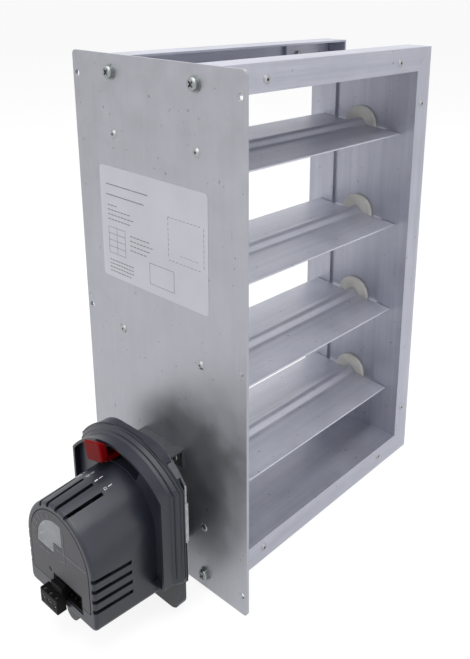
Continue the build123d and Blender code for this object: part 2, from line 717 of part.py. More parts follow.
def hook_outline():
    """A hooked tab at the top of the bracket, before it is turned to its place."""
    half = HOOK_WIDTH / 2
    low = HOOK_RADIUS - BRACKET_TAB_SHEET
    return rectangle(-half, half, low - BRACKET_TAB_SHEET, low)


def rim_outline():
    """The base's rim and the cover's flange share this outline."""
    return arch(RIM_ARCH, RIM_CENTRE, RIM_HALF_WIDTH, RIM_BOTTOM, RIM_CORNER)


def hood_outline(inset):
    """The hood's outline, set in by an amount."""
    return arch(
        HOOD_ARCH - inset,
        HOOD_CENTRE,
        HOOD_HALF_WIDTH - inset,
        RIM_BOTTOM + inset,
        max(HOOD_CORNER - inset, HOOD_LIP / 2),
    )


def actuator_base():
    """The base: a rear block, a wider rim, the lever's cavity, posts and the output collar."""
    block = rectangle(-BLOCK_HALF_WIDTH, BLOCK_HALF_WIDTH, BLOCK_BOTTOM, BLOCK_TOP)
    corners = block.vertices().group_by(Axis.Y)
    block = fillet(corners[-1], BLOCK_SHOULDER)
    block = fillet(block.vertices().group_by(Axis.Y)[0], BLOCK_CORNER)
    rim = rim_outline()
    cavity = arch(CAVITY_ARCH, 0, CAVITY_HALF_WIDTH, CAVITY_BOTTOM, CAVITY_CORNER)
    shape = prism(block, BASE_FRONT_X, BRACKET_FACE_X)
    shape += prism(rim, BASE_FRONT_X, RIM_BACK_X)
    shape -= prism(cavity, BASE_FRONT_X, FLOOR_FRONT_X)
    ring_front = LEVER_X - SIDE_GAP
    shape += rod(COLLAR_RADIUS, COLLAR_FRONT_X, FLOOR_FRONT_X)
    shape += rod(COLLAR_SHOULDER, LEVER_X + LEVER_THICKNESS + SIDE_GAP, FLOOR_FRONT_X)
    shape += rod(COLLAR_LIP, COLLAR_FRONT_X, ring_front)
    shape += [rod(POST_RADIUS, GEAR_PLATE_BACK_X, FLOOR_FRONT_X, y, v) for y, v in POST_PLACES]
    y, v = spring_post()
    shape += rod(SPRING_POST_RADIUS, SPRING_POST_X, FLOOR_FRONT_X, y, v)
    shape -= rod(HUB_RADIUS + HUB_RUNNING_GAP, COLLAR_FRONT_X, BRACKET_FACE_X)
    seat_end = FLOOR_FRONT_X + BASE_FLOOR / 2
    shape -= rod(AXLE_RADIUS + PRESS_GAP, FLOOR_FRONT_X, seat_end, IDLER_Y, IDLER_V)
    half = HOOK_WIDTH / 2 + SIDE_GAP
    low = HOOK_RADIUS - 2 * BRACKET_TAB_SHEET - SIDE_GAP
    notch = prism(rectangle(-half, half, low, RIM_ARCH), RIM_BACK_X, BRACKET_FACE_X)
    shape -= [Rot(side * HOOK_ANGLE, 0, 0) * notch for side in (1, -1)]
    screw = HOUSING_SCREW_RADIUS + HOLE_GAP
    shape -= [rod(screw, BASE_FRONT_X, BRACKET_FACE_X, y, v) for y, v in HOUSING_SCREWS]
    bore_end = GEAR_PLATE_BACK_X + POST_SCREW_DEPTH
    shape -= [rod(POST_SCREW_RADIUS, GEAR_PLATE_BACK_X, bore_end, y, v) for y, v in POST_PLACES]
    save("actuator_base", Pos(0, 0, AXIS_Z) * shape)


def spring_post():
    """The place of the post that the spring's outer end wraps."""
    reach = SPRING_OUTER + SPRING_STRIP / 2 + SPRING_POST_RADIUS + HOLE_GAP
    angle = math.radians(SPRING_END)
    return reach * math.cos(angle), reach * math.sin(angle)


def body_outline(sizes, x, inset):
    """The tapered body's outline in a plane across X, as a face set in from the outside."""
    radius, centre, half_width, bottom = sizes
    outline = arch(
        radius - inset,
        centre,
        half_width - inset,
        bottom + inset,
        max(BODY_CORNER - inset, BODY_CORNER / 2),
    )
    return section(x) * outline


def between(x):
    """The body's sizes at one depth, on the straight line between its two ends."""
    share = (x - HOOD_BACK_X) / (COVER_FRONT_X - HOOD_BACK_X)
    return [a + (b - a) * share for a, b in zip(BODY_BACK, BODY_FRONT)]


def panel_outline(inset):
    """The front panel's outline, set in by an amount."""
    radius = PANEL_RADIUS - inset
    return arch(radius, PANEL_CENTRE, radius, PANEL_BOTTOM + inset, PANEL_CORNER)


def header_outline(gap):
    """The terminal header's outline with a gap around it."""
    return rectangle(HEADER_RIGHT - gap, HEADER_LEFT + gap, HEADER_BOTTOM - gap, HEADER_TOP + gap)


def cooling_vents():
    """Cutters for the long slots over the top and down both sides of the cover."""
    inner = BODY_FRONT[0] - COVER_WALL - SIDE_GAP
    outer = BODY_FRONT[0] + VENT_DEPTH
    front = COVER_FRONT_X - 1
    half = VENT_WIDTH / 2
    centre = BODY_FRONT[1]
    top = prism(rectangle(-half, half, inner, outer), front, VENT_BACK_X)
    cutters = [Pos(0, 0, centre) * Rot(angle, 0, 0) * top for angle in VENT_ANGLES]
    drop = math.degrees(math.atan2(SIDE_VENT_DROP, SIDE_VENT_BACK_X - COVER_FRONT_X))
    for v in SIDE_VENTS:
        for side in (1, -1):
            low, high = sorted((side * inner, side * outer))
            slot = prism(rectangle(low, high, -half, half), -1, SIDE_VENT_BACK_X - COVER_FRONT_X)
            cutters.append(Pos(COVER_FRONT_X, 0, v) * Rot(0, drop, 0) * slot)
    return cutters


def actuator_cover():
    """The tapered cover with its flange, hood, lever slot, vents and panel recess."""
    back = body_outline(between(BASE_FRONT_X), BASE_FRONT_X, 0)
    body = loft([back, body_outline(BODY_FRONT, COVER_FRONT_X, 0)])
    body = fillet(body.faces().sort_by(Axis.X)[0].edges(), COVER_EDGE)
    flange = loft([section(BASE_FRONT_X) * rim_outline(), section(HOOD_BACK_X) * hood_outline(0)])
    hood = prism(hood_outline(0), HOOD_FRONT_X, HOOD_BACK_X)
    hood -= prism(hood_outline(HOOD_LIP), HOOD_FRONT_X, HOOD_FACE_X)
    outside = body + flange + hood
    back_x = BASE_FRONT_X + 1
    inner_x = COVER_FRONT_X + COVER_FRONT_WALL
    hollow = loft(
        [
            body_outline(between(back_x), back_x, COVER_WALL),
            body_outline(between(inner_x), inner_x, COVER_WALL),
        ]
    )
    shape = outside - hollow
    shape -= prism(panel_outline(-PANEL_GROOVE), COVER_FRONT_X - 1, PANEL_BACK_X)
    shape -= prism(panel_outline(PANEL_LEDGE), COVER_FRONT_X - 1, inner_x + 1)
    shape -= prism(header_outline(HEADER_GAP), COVER_FRONT_X - 1, inner_x + 1)
    shape -= cooling_vents()
    shape -= lever_slot()
    end = BASE_FRONT_X - HOUSING_SCREW_IN_COVER
    screw = HOUSING_SCREW_RADIUS + HOLE_GAP
    shape -= [rod(screw, end, back_x, y, v) for y, v in HOUSING_SCREWS]
    shape += anchor()
    save("actuator_cover", Pos(0, 0, AXIS_Z) * shape)


def anchor():
    """The round footed rib under the cover's front for the plug's cable tie."""
    bottom = BODY_FRONT[3]
    low = bottom - ANCHOR_DROP + ANCHOR_RADIUS
    outline = Pos(ANCHOR_Y, low) * Circle(ANCHOR_RADIUS)
    top = bottom + COVER_WALL / 2
    left = ANCHOR_Y + ANCHOR_RADIUS
    right = ANCHOR_Y - ANCHOR_RADIUS
    outline += rectangle(right, left, low, top)
    outline &= rectangle(right, left, low - ANCHOR_RADIUS, top)
    back = COVER_FRONT_X + COVER_EDGE + ANCHOR_DEPTH
    return prism(outline, COVER_FRONT_X + COVER_EDGE, back)


def lever_slot():
    """The arc shaped slot in the hood's face for the range stop lever."""
    ring = Circle(SLOT_OUTER) - Circle(SLOT_INNER)
    reach = 2 * SLOT_OUTER
    left = math.radians(90 - SLOT_LEFT)
    right = math.radians(90 + SLOT_RIGHT)
    wedge = Polygon(
        (0, 0),
        (reach * math.cos(right), reach * math.sin(right)),
        (0, reach),
        (reach * math.cos(left), reach * math.sin(left)),
        align=None,
    )
    return prism(ring & wedge, HOOD_FACE_X, BASE_FRONT_X)


def window_outline():
    """The window's outline: part of a disc with a square bite at its inner corner."""
    disc = Pos(0, WINDOW_CENTRE) * Circle(WINDOW_RADIUS)
    pane = disc & rectangle(WINDOW_RIGHT, WINDOW_RADIUS, WINDOW_BOTTOM, WINDOW_RADIUS)
    pane -= rectangle(WINDOW_RIGHT, WINDOW_NOTCH_Y, WINDOW_BOTTOM, WINDOW_NOTCH_V)
    return fillet(pane.vertices(), WINDOW_CORNER)


def front_panel_and_window():
    """The front panel, the window pane behind it and the status lamp."""
    front = COVER_FRONT_X - PANEL_PROUD
    rebate_x = PANEL_BACK_X - WINDOW_LENS
    pane = window_outline()
    wide = offset(pane, WINDOW_LEDGE)
    panel = prism(panel_outline(0), front, PANEL_BACK_X)
    panel -= prism(pane, front, rebate_x)
    panel -= prism(wide, rebate_x, PANEL_BACK_X)
    panel -= prism(header_outline(HEADER_GAP), front, PANEL_BACK_X)
    panel -= rod(LAMP_RADIUS + HOLE_GAP, front, PANEL_BACK_X, LAMP_Y, LAMP_V)
    save("front_panel", Pos(0, 0, AXIS_Z) * panel)
    lens = prism(offset(wide, -HOLE_GAP), rebate_x, PANEL_BACK_X)
    lens += prism(offset(pane, -HOLE_GAP), COVER_FRONT_X, rebate_x)
    save("indicator_window", Pos(0, 0, AXIS_Z) * lens)
    lamp = rod(LAMP_RADIUS, COVER_FRONT_X + PANEL_PROUD, BOARD_X - PANEL_PROUD, LAMP_Y, LAMP_V)
    save("status_lamp", Pos(0, 0, AXIS_Z) * lamp)


def terminals():
    """The header on the board and the plug that pulls out of it."""
    inside_left = HEADER_LEFT - HEADER_WALL
    inside_right = HEADER_RIGHT + HEADER_WALL
    inside_low = HEADER_BOTTOM + HEADER_WALL
    inside_high = HEADER_TOP - HEADER_WALL
    pocket_x = HEADER_FRONT_X + HEADER_POCKET
    header = prism(header_outline(0), HEADER_FRONT_X, HEADER_BACK_X)
    pocket = rectangle(inside_right, inside_left, inside_low, inside_high)
    header -= prism(pocket, HEADER_FRONT_X, pocket_x)
    pitch = (inside_left - inside_right) / HEADER_POLES
    middle = (inside_low + inside_high) / 2
    half = HEADER_PIN / 2
    pin_front = HEADER_FRONT_X + SIDE_GAP
    poles = [inside_left - pitch * (i + 0.5) for i in range(HEADER_POLES)]
    for y in poles:
        pin = rectangle(y - half, y + half, middle - half, middle + half)
        header += prism(pin, pin_front, pocket_x)
    save("terminal_header", Pos(0, 0, AXIS_Z) * header)

    block = rectangle(PLUG_RIGHT, PLUG_LEFT, PLUG_BOTTOM, PLUG_TOP)
    plug = prism(block, PLUG_FRONT_X, PLUG_BACK_X)
    plug = chamfer(plug.edges().group_by(Axis.X)[0], PLUG_GAP)
    shelf = rectangle(PLUG_RIGHT, PLUG_SHELF_LEFT, PLUG_TOP, PLUG_SHELF_TOP)
    plug += prism(shelf, PLUG_SHELF_X, PLUG_BACK_X)
    tongue_low = inside_low + PLUG_GAP
    tongue_high = inside_high - PLUG_GAP
    tongue = rectangle(PLUG_RIGHT, inside_left - PLUG_GAP, tongue_low, tongue_high)
    plug += prism(tongue, PLUG_BACK_X, HEADER_FRONT_X + PLUG_TONGUE)
    room = HEADER_PIN / 2 + PLUG_GAP
    for y in poles[:PLUG_POLES]:
        socket = rectangle(y - room, y + room, middle - room, middle + room)
        plug -= prism(socket, PLUG_BACK_X - PLUG_GAP, HEADER_FRONT_X + PLUG_TONGUE)
    step = (PLUG_LEFT - PLUG_RIGHT) / PLUG_POLES
    wire_v = (PLUG_TOP + PLUG_BOTTOM) / 2
    for i in range(PLUG_POLES):
        y = PLUG_LEFT - step * (i + 0.5)
        plug -= rod(PLUG_WIRE_RADIUS, PLUG_FRONT_X, PLUG_FRONT_X + PLUG_TONGUE, y, wire_v)
        bore = Cylinder(PLUG_SCREW_RADIUS, PLUG_SCREW_DEPTH)
        plug -= Pos((PLUG_FRONT_X + PLUG_SHELF_X) / 2, y, PLUG_TOP - PLUG_SCREW_DEPTH / 2) * bore
    save("terminal_plug", Pos(0, 0, AXIS_Z) * plug)


def range_lever():
    """The red range stop lever: a ring on the collar, an arm, a stem and a tapered grip."""
    x1 = LEVER_X + LEVER_THICKNESS
    flat = Circle(LEVER_RING) + rectangle(-LEVER_ARM / 2, LEVER_ARM / 2, 0, LEVER_STEM_OUTER)
    flat &= Circle(LEVER_STEM_OUTER)
    shape = prism(flat, LEVER_X, x1) - rod(COLLAR_RADIUS + RUNNING_GAP, LEVER_X, x1)
    half = LEVER_STEM_WIDTH / 2
    stem = rectangle(-half, half, LEVER_STEM_INNER, 2 * LEVER_STEM_OUTER)
    stem &= Circle(LEVER_STEM_OUTER) - Circle(LEVER_STEM_INNER)
    shape += prism(stem, KNOB_BACK_X, LEVER_X)
    middle = (KNOB_TOP + KNOB_BOTTOM) / 2
    height = KNOB_TOP - KNOB_BOTTOM
    front = Pos(0, middle) * RectangleRounded(KNOB_WIDTH, height, KNOB_EDGE)
    back_height = height - 2 * KNOB_TAPER
    back_middle = KNOB_BOTTOM + back_height / 2 - PRESS_GAP
    back = Pos(0, back_middle) * RectangleRounded(KNOB_WIDTH - 2 * KNOB_TAPER, back_height, KNOB_EDGE)
    grip = loft([section(KNOB_BACK_X) * back, section(KNOB_FRONT_X) * front])
    shape += fillet(grip.faces().sort_by(Axis.X)[0].edges(), KNOB_EDGE / 2)
    save("range_stop_lever", Pos(0, 0, AXIS_Z) * Rot(-LEVER_REST, 0, 0) * shape)


# Gear train


def tooth_points(module, teeth, middle):
    """One involute tooth's points, from its left root to its right root."""
    pressure = math.radians(PRESSURE_ANGLE)
    pitch_radius = module * teeth / 2
    base = pitch_radius * math.cos(pressure)
    tip = pitch_radius + TOOTH_ADDENDUM * module
    root = pitch_radius - TOOTH_DEDENDUM * module
    half = (math.pi * module / 2 - BACKLASH) / (2 * pitch_radius)
    spread = half + math.tan(pressure) - pressure
    start = max(base, root)
    flank = []
    for step in range(4):
        radius = start + (tip - start) * step / 3
        roll = math.acos(base / radius)
        flank.append((radius, spread - (math.tan(roll) - roll)))
    if root < base:
        flank.insert(0, (root, flank[0][1]))
    points = []
    for radius, angle in flank:
        points.append((radius, middle - angle))
    for radius, angle in reversed(flank):
        points.append((radius, middle + angle))
    return [(r * math.cos(a), r * math.sin(a)) for r, a in points]


def gear_outline(module, teeth, middle):
    """A whole gear's outline with one tooth at an angle in degrees."""
    points = []
    for i in range(teeth):
        points += tooth_points(module, teeth, math.radians(middle) + 2 * math.pi * i / teeth)
    return Polygon(*points, align=None)


def sector_outline():
    """The sector's toothed rim, with a tooth on the line to the idler when open."""
    step = 2 * math.pi / SECTOR_TEETH
    mesh = math.radians(IDLER_DIRECTION)
    points = []
    for i in range(-SECTOR_TRAIL, SECTOR_LEAD + 1):
        points += tooth_points(SECTOR_MODULE, SECTOR_TEETH, mesh + i * step)
    return Polygon((0, 0), *points, align=None) + Circle(SECTOR_BOSS)


def output_train():
    """The output hub, the sector, the position disc and the two driving gears."""
    sector_end = SECTOR_X + SECTOR_THICKNESS
    hub = rod(HUB_RADIUS, SECTOR_X - MESH_OVERHANG, HUB_BACK_X)
    hub += rod(HUB_NOSE_RADIUS, INDICATOR_X, SECTOR_X)
    socket = rod(SHAFT_RADIUS + PRESS_GAP, SHAFT_END_X - PRESS_GAP, HUB_BACK_X)
    flat_end = SHAFT_END_X + SHAFT_FLAT_LENGTH
    bore = SHAFT_RADIUS + PRESS_GAP
    socket -= d_flat(SHAFT_END_X - 1, flat_end - HOLE_GAP, bore, SHAFT_FLAT + PRESS_GAP)
    save("output_hub", Pos(0, 0, AXIS_Z) * (hub - socket))
    sector = prism(sector_outline(), SECTOR_X, sector_end)
    sector -= rod(HUB_RADIUS + PRESS_GAP, SECTOR_X, sector_end)
    save("sector_gear", Pos(0, 0, AXIS_Z) * sector)
    disc = rod(INDICATOR_RADIUS, INDICATOR_X, INDICATOR_X + INDICATOR_THICKNESS)
    disc -= rod(HUB_NOSE_RADIUS + PRESS_GAP, INDICATOR_X, INDICATOR_X + INDICATOR_THICKNESS)
    save("position_indicator", Pos(0, 0, AXIS_Z) * disc)

    gap_angle = IDLER_DIRECTION + 180 + 180 / PINION_TEETH
    pinion = gear_outline(SECTOR_MODULE, PINION_TEETH, gap_angle)
    wheel = gear_outline(WHEEL_MODULE, WHEEL_TEETH, MOTOR_DIRECTION)
    wheel_back = WHEEL_X + WHEEL_THICKNESS
    sleeve_front = GEAR_PLATE_BACK_X + SIDE_GAP
    sleeve_back = FLOOR_FRONT_X - SIDE_GAP
    idler = prism(pinion, wheel_back, sector_end + MESH_OVERHANG)
    idler += prism(wheel, WHEEL_X, wheel_back)
    idler += rod(2 * AXLE_RADIUS, sleeve_front, sleeve_back)
    idler -= rod(AXLE_RADIUS + RUNNING_GAP, sleeve_front, sleeve_back)
    save("idler_gear", Pos(0, IDLER_Y, AXIS_Z + IDLER_V) * idler)
    axle = rod(AXLE_RADIUS, GEAR_PLATE_X, FLOOR_FRONT_X + BASE_FLOOR / 2)
    save("idler_axle", Pos(0, IDLER_Y, AXIS_Z + IDLER_V) * axle)

    gap_angle = MOTOR_DIRECTION + 180 + 180 / PINION_TEETH
    outline = gear_outline(WHEEL_MODULE, PINION_TEETH, gap_angle)
    drive = prism(outline, WHEEL_X - MESH_OVERHANG, wheel_back + MESH_OVERHANG)
    drive += rod(MOTOR_SHAFT_RADIUS, GEAR_PLATE_X - MOTOR_SHAFT_DEPTH, WHEEL_X)
    save("motor_pinion", Pos(0, MOTOR_Y, AXIS_Z + MOTOR_V) * drive)


def motor_and_plate():
    """The drive motor on the gear plate, which the base's posts carry."""
    place = Pos(0, MOTOR_Y, AXIS_Z + MOTOR_V)
    motor = rod(MOTOR_RADIUS, GEAR_PLATE_X - MOTOR_LENGTH, GEAR_PLATE_X)
    motor = fillet(motor.edges().filter_by(GeomType.CIRCLE), MOTOR_EDGE)
    motor += rod(MOTOR_BOSS, GEAR_PLATE_X, GEAR_PLATE_BACK_X)
    shaft = MOTOR_SHAFT_RADIUS + RUNNING_GAP
    end = GEAR_PLATE_X - MOTOR_SHAFT_DEPTH - SIDE_GAP
    save("drive_motor", place * (motor - rod(shaft, end, GEAR_PLATE_BACK_X)))

    outline = rectangle(
        -GEAR_PLATE_HALF_WIDTH, GEAR_PLATE_HALF_WIDTH, GEAR_PLATE_BOTTOM, GEAR_PLATE_TOP
    )
    outline = fillet(outline.vertices(), GEAR_PLATE_CORNER)
    plate = prism(outline, GEAR_PLATE_X, GEAR_PLATE_BACK_X)
    holes = [
        (HUB_NOSE_RADIUS + HUB_RUNNING_GAP, 0, 0),
        (AXLE_RADIUS + PRESS_GAP, IDLER_Y, IDLER_V),
        (MOTOR_BOSS + HOLE_GAP, MOTOR_Y, MOTOR_V),
    ]
    holes += [(POST_SCREW_RADIUS, y, v) for y, v in POST_PLACES]
    plate -= [rod(radius, GEAR_PLATE_X, GEAR_PLATE_BACK_X, y, v) for radius, y, v in holes]
    save("gear_plate", Pos(0, 0, AXIS_Z) * plate)
    screw = pan_screw(
        POST_SCREW_RADIUS - HOLE_GAP,
        GEAR_PLATE_SHEET + POST_SCREW_DEPTH - SIDE_GAP,
        POST_SCREW_HEAD_RADIUS,
        POST_SCREW_HEAD,
    )
    placed = [Pos(GEAR_PLATE_X, y, AXIS_Z + v) * screw for y, v in POST_PLACES]
    save("gear_plate_screws", group(placed))


def return_spring():
    """The flat spiral spring round the hub, with an eye on the base's spring post."""
    steps = SPRING_TURNS * SPRING_STEPS
    end = math.radians(SPRING_END)
    inside = []
    outside = []
    for step in range(steps + 1):
        share = step / steps
        radius = SPRING_INNER + (SPRING_OUTER - SPRING_INNER) * share
        angle = end - 2 * math.pi * SPRING_TURNS * (1 - share)
        inside.append((radius * math.cos(angle), radius * math.sin(angle)))
        radius += SPRING_STRIP
        outside.append((radius * math.cos(angle), radius * math.sin(angle)))
    strip = Polygon(*inside, *reversed(outside), align=None)
    y, v = spring_post()
    eye = Circle(SPRING_POST_RADIUS + HOLE_GAP + SPRING_STRIP)
    flat = strip + Pos(y, v) * eye - Pos(y, v) * Circle(SPRING_POST_RADIUS + HOLE_GAP)
    save("return_spring", prism(flat, SPRING_X, SPRING_X + SPRING_WIDTH, AXIS_Z))


def board_pad_and_screws():
    """The circuit board, the latch pad beside the base and the cover's screws."""
    board = rectangle(-BOARD_HALF_WIDTH, BOARD_HALF_WIDTH, BOARD_BOTTOM, BOARD_TOP)
    save("circuit_board", prism(board, BOARD_X, BOARD_X + BOARD_THICKNESS, AXIS_Z))
    inner = -BLOCK_HALF_WIDTH - PAD_GAP
    pad = rectangle(inner - PAD_THICKNESS, inner, PAD_BOTTOM, PAD_TOP)
    block = prism(pad, RIM_BACK_X + PAD_GAP, BRACKET_FACE_X - PAD_GAP, AXIS_Z)
    edges = block.faces().sort_by(Axis.Y)[0].edges()
    save("mount_pad", chamfer(edges, PAD_EDGE))
    end = BASE_FRONT_X - HOUSING_SCREW_IN_COVER
    screw = pan_screw(
        HOUSING_SCREW_RADIUS,
        BRACKET_FACE_X - end - PAD_GAP,
        HOUSING_SCREW_HEAD_RADIUS,
        HOUSING_SCREW_HEAD,
    )
    turned = Rot(0, 0, 180) * screw
    placed = [Pos(BRACKET_FACE_X, y, AXIS_Z + v) * turned for y, v in HOUSING_SCREWS]
    save("cover_screws", group(placed))


frame_rails()
corner_keys()
rivets()
mounting_plate()
plate_screws()
blades_and_bearings()
linkage()
bracket()
actuator_base()
actuator_cover()
front_panel_and_window()
terminals()
range_lever()
output_train()
motor_and_plate()
return_spring()
board_pad_and_screws()
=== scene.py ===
"""A zone damper for a rectangular duct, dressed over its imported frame.

The damper stands as packed: its plate's duct side is at X 0, the airflow is along Y
and Z is up. Sizes are metres, and MM turns millimetres into them.
"""

import json
import math

import bpy
import numpy as np
from mathutils import Matrix, Vector


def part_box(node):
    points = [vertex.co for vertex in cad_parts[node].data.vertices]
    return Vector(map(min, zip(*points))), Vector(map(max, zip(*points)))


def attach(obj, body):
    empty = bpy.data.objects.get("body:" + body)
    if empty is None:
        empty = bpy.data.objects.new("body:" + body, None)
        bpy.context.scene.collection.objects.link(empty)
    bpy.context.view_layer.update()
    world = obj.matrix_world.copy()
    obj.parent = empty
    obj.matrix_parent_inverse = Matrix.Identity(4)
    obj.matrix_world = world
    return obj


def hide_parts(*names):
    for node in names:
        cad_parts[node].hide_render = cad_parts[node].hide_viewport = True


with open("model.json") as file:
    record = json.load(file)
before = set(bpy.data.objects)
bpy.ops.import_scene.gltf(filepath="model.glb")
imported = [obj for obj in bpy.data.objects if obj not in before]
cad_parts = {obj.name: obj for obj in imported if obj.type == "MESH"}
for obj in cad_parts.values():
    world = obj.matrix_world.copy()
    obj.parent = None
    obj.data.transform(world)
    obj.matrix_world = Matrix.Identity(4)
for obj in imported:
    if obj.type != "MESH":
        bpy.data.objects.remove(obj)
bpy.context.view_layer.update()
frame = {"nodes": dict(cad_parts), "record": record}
NODES = frame["nodes"]

MM = 0.001

# Camera, as fitted to the photograph's straight edges
IMAGE_WIDTH = 470
IMAGE_HEIGHT = 659
FOCAL_PIXELS = 747.2
PRINCIPAL_X = 296.1
PRINCIPAL_Y = 210.9
CAMERA_PLACE = (-281.3 * MM, -345.6 * MM, 218.0 * MM)
CAMERA_AZIMUTH = -50.10
CAMERA_ELEVATION = 16.91
CAMERA_ROLL = 1.09
SENSOR = 36.0

# Colours of marks and films
SCRATCH_COLOUR = (0.66, 0.67, 0.71)
SPECK_COLOUR = (0.10, 0.10, 0.11)
SPECK_STRENGTH = 0.45
PANE_DARK = (0.25, 0.26, 0.285)
PANE_LIGHT = (0.30, 0.31, 0.335)
PANE_COVER = 0.7
FILM_DARK = (0.465, 0.475, 0.52)
FILM_LIGHT = (0.505, 0.515, 0.56)
# Bracket: its middle is darkened with painted shade and its tabs keep the steel's own colour. The tab
# colour starts at a distance from the middle
BRACKET_PAINTED_SHADE = ((0.11, 0.113, 0.122), (0.14, 0.143, 0.152))
BRACKET_BRIGHT = ((0.42, 0.425, 0.44), (0.52, 0.525, 0.54))
BRACKET_TAB_START = (45.2 * MM, 45.9 * MM)

# Light: each lamp's place, aim, side, power and colour
SURROUND_STRENGTH = 0.3
KEY_LIGHT = ((-1.5, 0.1, 1.1), (0.0, 0.0, 0.0), 1.2, 12, (1, 1, 1))
OVERHEAD_LIGHT = ((0.0, -0.1, 1.7), (0.05, 0.0, 0.0), 1.6, 32, (1, 1, 1))
FILL_LIGHT = ((0.35, -1.4, 0.5), (0.12, 0.0, 0.0), 1.2, 3, (0.93, 0.95, 1.0))

# Floor
FLOOR_SIDE = 30.0
FLOOR_GAP = 0.2 * MM
FLOOR_COLOUR = (0.9, 0.9, 0.9)
FLOOR_ROUGHNESS = 0.9
FLOOR_GLOW = 0.8
FLOOR_GLOW_STRENGTH = 1.1
FLOOR_GLOW_IN_GLOSS = 0.6

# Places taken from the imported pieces
PLATE_FACE_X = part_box("mounting_plate")[0].x
DRIVE_Z = (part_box("far_bushing_4")[0].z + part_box("far_bushing_4")[1].z) / 2
PANEL_FACE_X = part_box("front_panel")[0].x

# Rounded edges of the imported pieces, by material
EDGE_WIDTHS = {
    "housing_plastic": 0.45 * MM,
    "panel_plastic": 0.2 * MM,
    "red_plastic": 1.3 * MM,
    "black_plastic": 0.15 * MM,
    "aluminium": 0.15 * MM,
    "nylon": 0.2 * MM,
    "zinc_steel": 0.12 * MM,
    "rivet_aluminium": 0.1 * MM,
}
OTHER_EDGE_WIDTH = 0.08 * MM
WIDE_EDGE = 1.0 * MM
WELD_DISTANCE = 0.002 * MM
FLAT_ANGLE = 0.5
EDGE_ANGLE = 32

# Blades, as extruded
BLADE_CHORD = 78.0 * MM
BLADE_SHEET = 1.3 * MM
BLADE_TUBE = 5.2 * MM
BLADE_RAMP = 6.4 * MM
BLADE_RAMP_TOP = 4.16 * MM
BLADE_RAMP_HEIGHT = 3.12 * MM
BLADE_BORE = 3.02 * MM
BLADE_TILT = 5.0
BLADE_SHARP_ANGLE = 50

# Label on the plate
LABEL_WIDTH = 101.6 * MM
LABEL_HEIGHT = 76.2 * MM
LABEL_CORNER = 3.0 * MM
LABEL_THICKNESS = 0.12 * MM
LABEL_MIDDLE_Y = 4.3 * MM
LABEL_MIDDLE_Z = 65.9 * MM
LABEL_TURN = -0.6
PRINT_HEIGHT = 0.03 * MM
PRINT_LINE = 0.35 * MM

# The label's fields, in millimetres across and down from its top left corner
WRITING_LINES = ((6, 48, 12), (6, 44, 19))
DASHED_ROWS = (
    # left end, first row, spacing, each row's right end, dash, gap
    (7, 26, 3.2, (18, 31, 33, 30), 2.6, 0.7),
    (29, 43, 3.2, (50, 52, 51, 48), 2.6, 0.7),
    (7, 64, 2.6, (33, 33, 34, 30), 2.2, 0.6),
)
TABLE_FIELD = (7, 24, 41, 59)
TABLE_ROWS = 4
DASHED_FIELD = (66.5, 98, 21.4, 49)
FIELD_DASH = 2.2
FIELD_GAP = 1.1
FOOT_LINE = (77.5, 93, 44)
FOOT_DASH = 1.6
EMPTY_FIELD = (48, 71, 56, 70)

# Marks on the cover's round top, each a dash and a small sign
DRUM_BACK_X = -36.0 * MM
DRUM_FRONT_X = -86.0 * MM
DRUM_BACK_RADIUS = 33.9 * MM
DRUM_FRONT_RADIUS = 35.0 * MM
DRUM_FRONT_DROP = -6.0 * MM
MARK_ANGLES = (30.3, 15.5, 0.0, -15.5)
BAR_MARK = 2
SQUARE_MARK = 3
RING_CORNERS = 16
MARK_START_X = -51.5 * MM
MARK_DASH = 2.8 * MM
MARK_GAP = 0.9 * MM
MARK_SIGN = 1.1 * MM
MARK_WIDTH = 0.45 * MM

# Beads round the cover's flange. An arch is its radius, its centre's height and its half width
RIM_X = -31.0 * MM
HOOD_X = -36.0 * MM
RIM_ARCH = (70.0 * MM, -15.8 * MM, 50.4 * MM)
HOOD_ARCH = (60.0 * MM, -10.0 * MM, 45.5 * MM)
BEAD_FOOT = -30.0 * MM
BEAD_SUNK = 0.4 * MM
BEAD_HEIGHT = 0.55 * MM
BEAD_WIDTH = 0.8 * MM
BEAD_X = (-29.6 * MM, -31.6 * MM, -34.2 * MM)
BEAD_SECTION = ((-0.5, -BEAD_SUNK), (-0.2, BEAD_HEIGHT), (0.2, BEAD_HEIGHT), (0.5, -BEAD_SUNK))

# Moulded lines on the front panel, in Y and height over the drive's axis
PANEL_LINE_WIDTH = 0.45 * MM
PANEL_LINE_HEIGHT = 0.22 * MM
WINDOW_CENTRE = -5.0 * MM
TICK_INNER = 24.2 * MM
TICK_OUTER = 27.6 * MM
TICK_ANGLES = (18.0, 32.0, 46.0, 60.0, 74.0, 88.0)
PANEL_LINES = (
    # left of the window, right of it, and the corner beside it, each from one end to the other
    ((21.6 * MM, -9.0 * MM), (8.0 * MM, -8.4 * MM)),
    ((1.5 * MM, -0.8 * MM), (-29.0 * MM, -0.4 * MM)),
    ((-6.6 * MM, 14.0 * MM), (-6.6 * MM, -6.8 * MM)),
    ((-6.6 * MM, -6.8 * MM), (-3.0 * MM, -6.8 * MM)),
)

# Plug terminals
PLUG_SCREW_Y = (10.0 * MM, 4.0 * MM, -2.0 * MM)
PLUG_SCREW_X = -91.1 * MM
PLUG_SCREW_TOP = -32.0 * MM
PLUG_SCREW_RADIUS = 1.25 * MM
PLUG_SCREW_HEIGHT = 0.8 * MM
PLUG_SCREW_CORNERS = 24
PLUG_SCREW_EDGE = 0.15 * MM
PLUG_WIRE_V = -36.75 * MM
PLUG_CAGE_HALF = 1.1 * MM
PLUG_CAGE_WALL = 0.25 * MM
PLUG_CAGE_X = (-92.7 * MM, -89.6 * MM)


# Meshes


